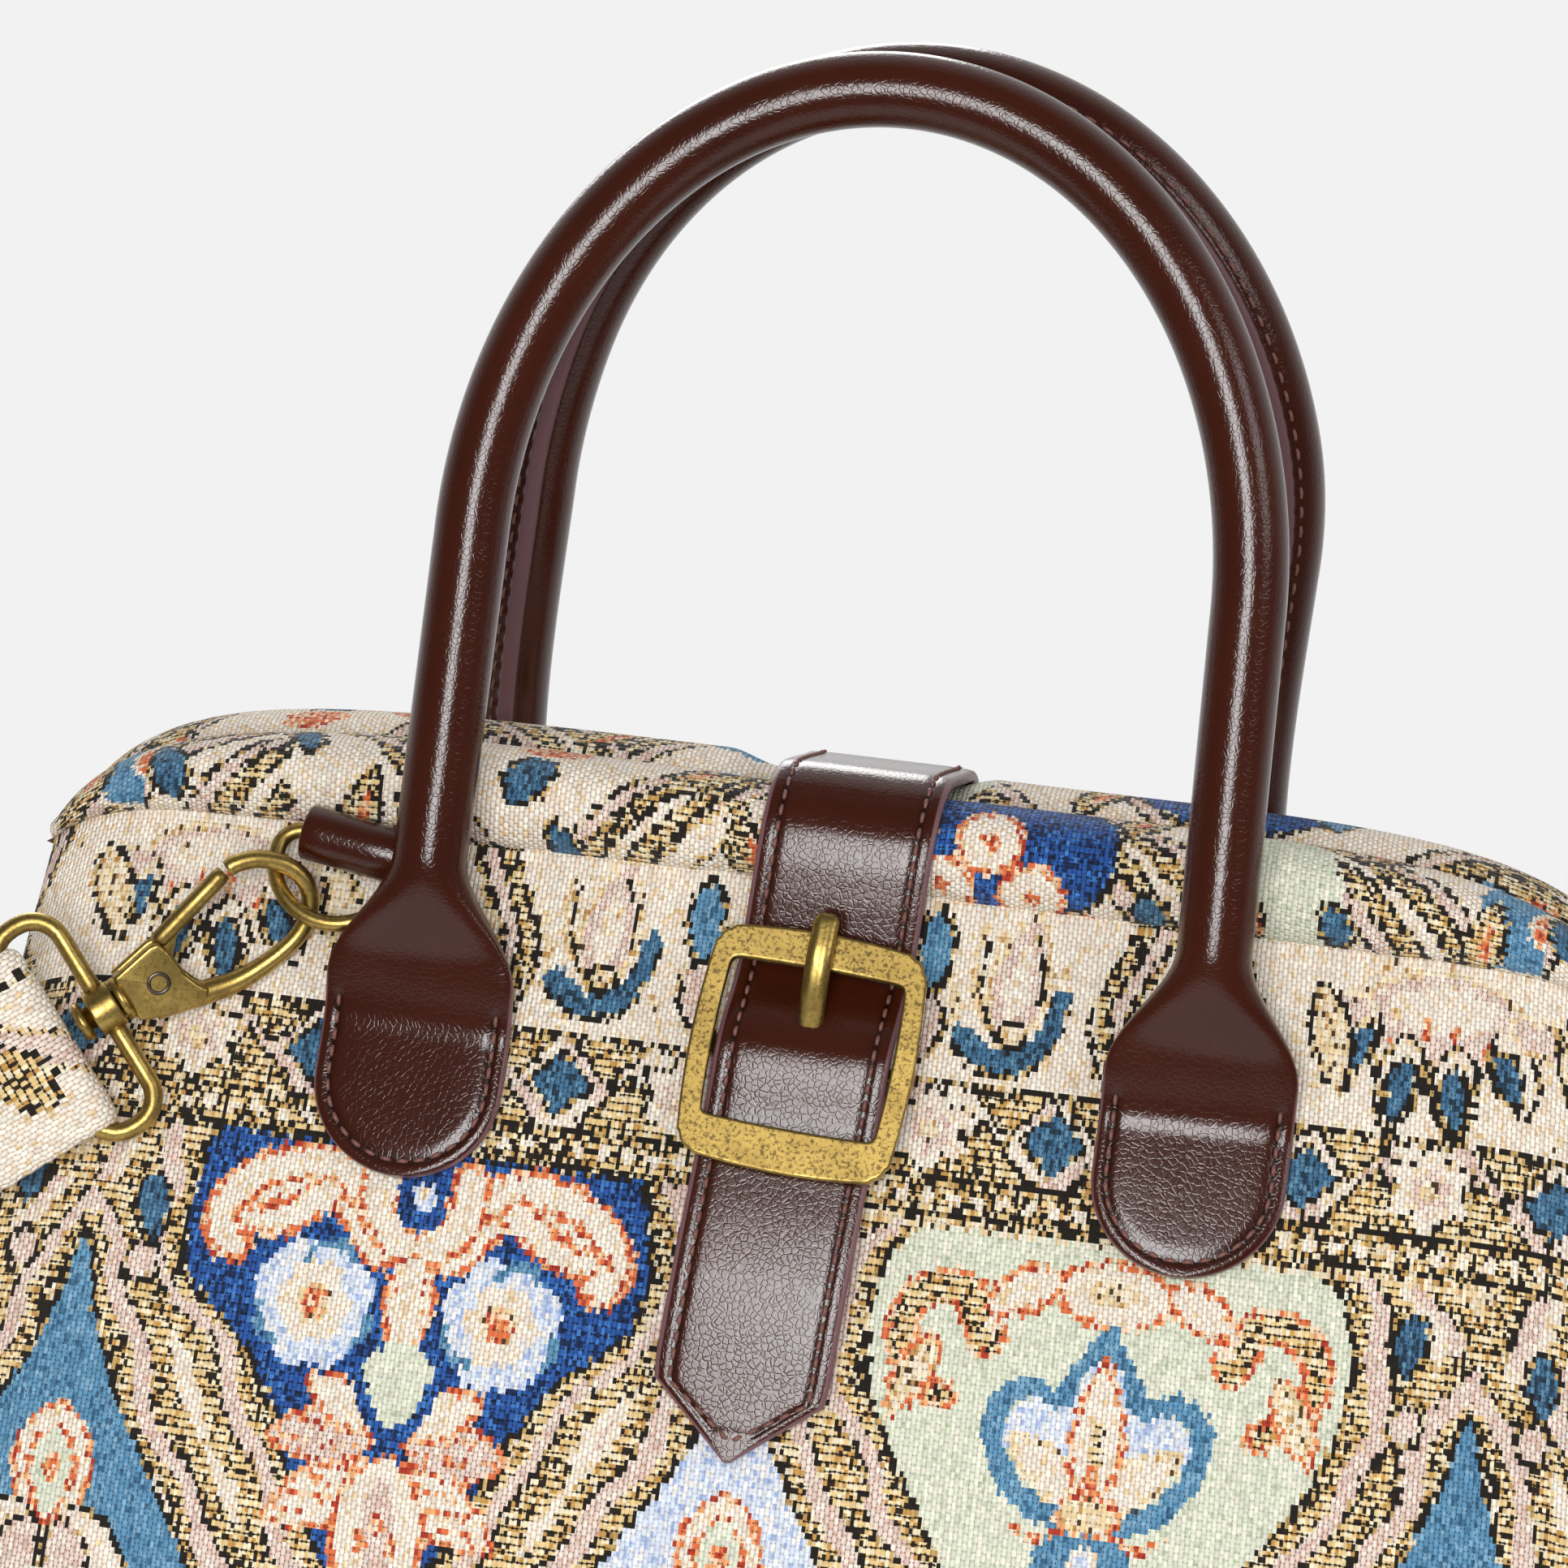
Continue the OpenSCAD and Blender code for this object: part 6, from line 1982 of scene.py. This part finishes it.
@once("materials", "tapestry_weave_finish")
def tapestry(name):
    """Ribbed tapestry: yarn colours from the piece, raised stitches over a darker ground."""
    mat, tree, shader, _ = new_material(name)
    cells = add(tree, "ShaderNodeUVMap", uv_map="weave").outputs[0]
    yarn = attribute(tree, "thread")
    under = attribute(tree, "ground")
    weave = use_group(tree, weave_group(), {"Cells": cells, "Cover": yarn["Alpha"], "Row": under["Alpha"]})
    shade = weave["Shade"]
    grey = add(tree, "ShaderNodeCombineColor", {0: shade, 1: shade, 2: shade}).outputs[0]
    lit = blend_colour(tree, 1.0, yarn["Color"], grey, "MULTIPLY")
    feed(tree, shader, {
        "Base Color": blend_colour(tree, weave["Raised"], under["Color"], lit),
        "Roughness": calc(tree, "SUBTRACT", 0.95, times(tree, weave["Raised"], 0.18)),
        "Normal": bump(tree, weave["Height"], 0.75, 0.00045),
        "Sheen Weight": 0.12,
        "Specular IOR Level": 0.25})
    return mat


@once("materials", "smooth_leather_finish")
def leather(name):
    """Glossy dark leather with painted edges, and painted shade that darkens the pressed line under the
    stitches.
    """
    colours = bpy.context.scene.bag_colours
    mat, tree, shader, coords = new_material(name)
    hide = use_group(tree, hide_group(), {"Place": coords, "Size": GRAIN_SIZE})
    mottle = hide["Mottle"]
    painted = ramp(tree, attribute(tree, "edge")["Fac"], 0.25, 0.6)
    body = blend_colour(tree, mottle, rgba(colours.leather, 0.7), rgba(colours.leather, 1.3))
    # Painted shade: the pressed line under the stitches is painted darker to stand for the shadow in its
    # groove
    body = blend_colour(tree, attribute(tree, "press")["Fac"], body, rgba(colours.leather, 0.3))
    feed(tree, shader, {
        "Base Color": blend_colour(tree, painted, body, rgba(colours.edge_paint)),
        "Roughness": plus(tree, plus(tree, 0.15, times(tree, mottle, 0.08)), times(tree, painted, 0.2)),
        "Normal": bump(tree, hide["Grain"], 0.25, 0.00013),
        "Specular IOR Level": 0.5})
    return mat


@once("materials", "sewing_thread_finish")
def sewing_thread(name):
    """Twisted sewing thread."""
    colours = bpy.context.scene.bag_colours
    mat, tree, shader, coords = new_material(name)
    twist = noise(tree, coords, 2400.0)
    feed(tree, shader, {
        "Base Color": blend_colour(tree, twist, rgba(colours.thread, 0.5), rgba(colours.thread, 1.7)),
        "Normal": bump(tree, twist, 0.5, 0.0002),
        "Roughness": 0.5})
    return mat


@once("materials", "antique_brass_finish")
def antique_brass(name):
    """Rubbed antique brass with a dark film; satin faces are duller, with plainer specks."""
    colours = bpy.context.scene.bag_colours
    mat, tree, shader, coords = new_material(name)
    patina = use_group(tree, patina_group(), {"Place": coords})
    film, lines, specks = patina["Film"], patina["Lines"], patina["Specks"]
    satin = attribute(tree, "satin")["Fac"]
    body = blend_colour(tree, times(tree, film, 0.55), rgba(colours.brass), rgba(colours.tarnish))
    body = blend_colour(tree, times(tree, specks, 0.35), body, rgba(colours.tarnish, 0.6))
    dull = blend_colour(tree, specks, rgba(colours.brass, 0.95), rgba(colours.tarnish, 1.5))
    rough = plus(tree, plus(tree, 0.28, times(tree, lines, 0.1)), times(tree, film, 0.1))
    feed(tree, shader, {
        "Base Color": blend_colour(tree, satin, body, dull),
        "Roughness": plus(tree, rough, times(tree, satin, 0.16)),
        "Normal": bump(tree, plus(tree, times(tree, lines, 0.6), specks), 0.12, 0.0001),
        "Metallic": 1.0})
    return mat


@once("materials", "dark_rivet_finish")
def dark_rivet(name):
    """Blackened steel of the hollow rivets."""
    mat, tree, shader, coords = new_material(name)
    film = use_group(tree, patina_group(), {"Place": coords})["Film"]
    feed(tree, shader, {
        "Base Color": blend_colour(tree, film, (0.2, 0.17, 0.13, 1), (0.05, 0.045, 0.04, 1)),
        "Roughness": 0.36,
        "Metallic": 1.0})
    return mat


@once("materials", "plain_steel_finish")
def plain_steel(name):
    """Strip steel with brushed lines and a little tarnish."""
    mat, tree, shader, coords = new_material(name)
    patina = use_group(tree, patina_group(), {"Place": coords})
    feed(tree, shader, {
        "Base Color": blend_colour(tree, patina["Film"], (0.55, 0.55, 0.56, 1), (0.36, 0.35, 0.34, 1)),
        "Roughness": plus(tree, 0.3, times(tree, patina["Lines"], 0.2)),
        "Metallic": 1.0})
    return mat


@once("materials", "fibre_board_finish")
def fibre_board(name):
    """Pressed board."""
    mat, tree, shader, coords = new_material(name)
    fibre = noise(tree, coords, 900.0, 4.0, 0.7)
    feed(tree, shader, {
        "Base Color": blend_colour(tree, fibre, (0.26, 0.19, 0.11, 1), (0.5, 0.4, 0.27, 1)),
        "Normal": bump(tree, fibre, 0.3, 0.0003),
        "Roughness": 0.85})
    return mat


class BAG_OT_inner(bpy.types.Operator):
    """Gives the solids that stay (bows, rivets, springs and board) their finish"""

    bl_idname = "carpet_bag.finish_inner"
    bl_label = "Frame and board"

    def execute(self, context):
        finishes = {"front_bow": plain_steel, "back_bow": plain_steel, "hinge_rivets": plain_steel,
                    "front_gate_spring": plain_steel, "back_gate_spring": plain_steel,
                    "base_board": fibre_board}
        for node, make in finishes.items():
            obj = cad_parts[node]
            obj.data.materials.clear()
            obj.data.materials.append(make())
        return {"FINISHED"}


# Stage: lamps (place, size, watts), the floor's fade and the camera, in metres and degrees
LAMPS = {
    "key": ((0.0, -1.25, 0.5), (0.46, 0.56), 11.0),
    "side": ((1.0, -0.7, 0.75), (0.5, 0.5), 2.4),
    "back": ((-0.45, 1.1, 0.8), (0.8, 0.6), 8.0),
}
LAMP_TARGET = Vector((0, 0, 0.17))
ROOM_LIGHT = 0.46
FLOOR_RADIUS = 1.1
FLOOR_FADE = (0.26, 0.44)
CAMERA_TURN = 7.59
CAMERA_RISE = 12.8
CAMERA_ROLL = 5.15
CAMERA_AWAY = 1.07
CAMERA_LENS = 140.2
CAMERA_AIM = Vector((0, -0.010, 0.208))
# Steps of the aim to the left and down in the picture
CAMERA_SHIFT = (0.0115, 0.0039)


class BAG_OT_stage(bpy.types.Operator):
    """Adds the floor, the lights, the world and the camera"""

    bl_idname = "carpet_bag.add_stage"
    bl_label = "Stage"

    def execute(self, context):
        scene = context.scene
        scene.view_settings.view_transform = "Standard"
        self.add_floor(scene)
        self.add_world(scene)
        self.add_lights(scene)
        self.add_camera(scene)
        return {"FINISHED"}

    def add_floor(self, scene):
        bpy.ops.object.select_all(action="DESELECT")
        bpy.ops.mesh.primitive_circle_add(vertices=96, radius=FLOOR_RADIUS, fill_type="NGON",
                                          location=(0, 0, -0.0002))
        floor = bpy.context.object
        floor.name = "floor"
        floor.data.transform(floor.matrix_world)
        floor.matrix_world = Matrix.Identity(4)
        mat, tree, shader, coords = new_material("pale_floor")
        feed(tree, shader, {"Base Color": rgba(scene.bag_colours.backdrop), "Roughness": 0.9})
        fade = ramp(tree, vector(tree, "LENGTH", {0: coords}, "Value"), *FLOOR_FADE)
        clear = add(tree, "ShaderNodeBsdfTransparent")
        join = add(tree, "ShaderNodeMixShader", {0: fade, 1: shader.outputs[0], 2: clear.outputs[0]})
        feed(tree, tree.nodes["Material Output"], {"Surface": join.outputs[0]})
        floor.data.materials.append(mat)

    def add_world(self, scene):
        world = bpy.data.worlds.new("studio")
        scene.world = world
        world.use_nodes = True
        tree = world.node_tree
        tree.nodes.clear()
        backdrop = rgba(scene.bag_colours.backdrop)
        path = tree.nodes.new("ShaderNodeLightPath").outputs
        seen = calc(tree, "MAXIMUM", path["Is Camera Ray"], path["Is Transmission Ray"])
        # Shiny pieces show the pale backdrop behind the bag and the dim room on the camera's side
        view = tree.nodes.new("ShaderNodeTexCoord").outputs["Generated"]
        behind = ramp(tree, add(tree, "ShaderNodeSeparateXYZ", {0: view}).outputs[1], -0.35, 0.75)
        shiny = blend_colour(tree, behind, rgba(backdrop, 0.1), backdrop)
        shown = blend_colour(tree, path["Is Glossy Ray"], backdrop, shiny)
        seen = calc(tree, "MAXIMUM", seen, path["Is Glossy Ray"])
        seen_back = add(tree, "ShaderNodeBackground", {"Color": shown, "Strength": 1.0})
        light_back = add(tree, "ShaderNodeBackground",
                         {"Color": (0.95, 0.95, 0.96, 1), "Strength": ROOM_LIGHT})
        join = add(tree, "ShaderNodeMixShader", {0: seen, 1: light_back.outputs[0], 2: seen_back.outputs[0]})
        add(tree, "ShaderNodeOutputWorld", {"Surface": join.outputs[0]})

    def add_lights(self, scene):
        for name, (spot, size, watts) in LAMPS.items():
            data = bpy.data.lights.new(name, "AREA")
            data.shape = "RECTANGLE"
            data.size, data.size_y = size
            data.energy = watts
            lamp = bpy.data.objects.new(name, data)
            lamp.location = spot
            lamp.rotation_euler = (LAMP_TARGET - Vector(spot)).to_track_quat("-Z", "Y").to_euler()
            scene.collection.objects.link(lamp)

    def add_camera(self, scene):
        """Camera from the front, a little to the right and above, tilted as in the photograph."""
        azimuth, elevation, roll = map(math.radians, (CAMERA_TURN, CAMERA_RISE, CAMERA_ROLL))
        back = Vector((math.sin(azimuth) * math.cos(elevation), -math.cos(azimuth) * math.cos(elevation),
                       math.sin(elevation)))
        level = Vector((math.cos(azimuth), math.sin(azimuth), 0))
        above = back.cross(level)
        right = level * math.cos(roll) + above * math.sin(roll)
        up = above * math.cos(roll) - level * math.sin(roll)
        place_at = CAMERA_AIM - right * CAMERA_SHIFT[0] - up * CAMERA_SHIFT[1] + back * CAMERA_AWAY
        data = bpy.data.cameras.new("camera")
        data.sensor_width = 36
        data.lens = CAMERA_LENS
        data.clip_start = 0.05
        camera = bpy.data.objects.new("camera", data)
        turned = Matrix((right, up, back)).transposed()
        camera.matrix_world = Matrix.Translation(place_at) @ turned.to_4x4()
        scene.collection.objects.link(camera)
        scene.camera = camera


OPERATORS = [BAG_OT_stage, BAG_OT_sling, BAG_OT_panels, BAG_OT_ends, BAG_OT_casings, BAG_OT_handles,
             BAG_OT_closure, BAG_OT_buckle, BAG_OT_rings, BAG_OT_hooks, BAG_OT_inner]


class BAG_PT_sidebar(bpy.types.Panel):
    """Lists the bag's sizes, colours and pieces"""

    bl_idname = "BAG_PT_sidebar"
    bl_label = "Carpet bag"
    bl_space_type = "VIEW_3D"
    bl_region_type = "UI"
    bl_category = "Carpet bag"

    def draw(self, context):
        scene = context.scene
        for holder, group_type in ((scene.bag_sizes, BagSizes), (scene.bag_colours, BagColours)):
            column = self.layout.column()
            for name in group_type.__annotations__:
                column.prop(holder, name)
        for operator in OPERATORS:
            self.layout.operator(operator.bl_idname)


CLASSES = [BagSizes, BagColours, *OPERATORS, BAG_PT_sidebar]


def register():
    for item in CLASSES:
        bpy.utils.register_class(item)
    bpy.types.Scene.bag_sizes = bpy.props.PointerProperty(type=BagSizes)
    bpy.types.Scene.bag_colours = bpy.props.PointerProperty(type=BagColours)


def unregister():
    del bpy.types.Scene.bag_colours
    del bpy.types.Scene.bag_sizes
    for item in reversed(CLASSES):
        bpy.utils.unregister_class(item)


def main():
    """Builds every piece in order."""
    register()
    bpy.ops.object.select_all(action="DESELECT")
    bpy.ops.carpet_bag.add_stage()
    bpy.ops.carpet_bag.add_sling()
    bpy.ops.carpet_bag.add_panels()
    bpy.ops.carpet_bag.add_ends()
    bpy.ops.carpet_bag.add_casings()
    bpy.ops.carpet_bag.add_handles()
    bpy.ops.carpet_bag.add_closure()
    bpy.ops.carpet_bag.add_buckle()
    bpy.ops.carpet_bag.add_rings()
    bpy.ops.carpet_bag.add_hooks()
    bpy.ops.carpet_bag.finish_inner()
    bpy.context.view_layer.update()


if __name__ == "__main__":
    main()
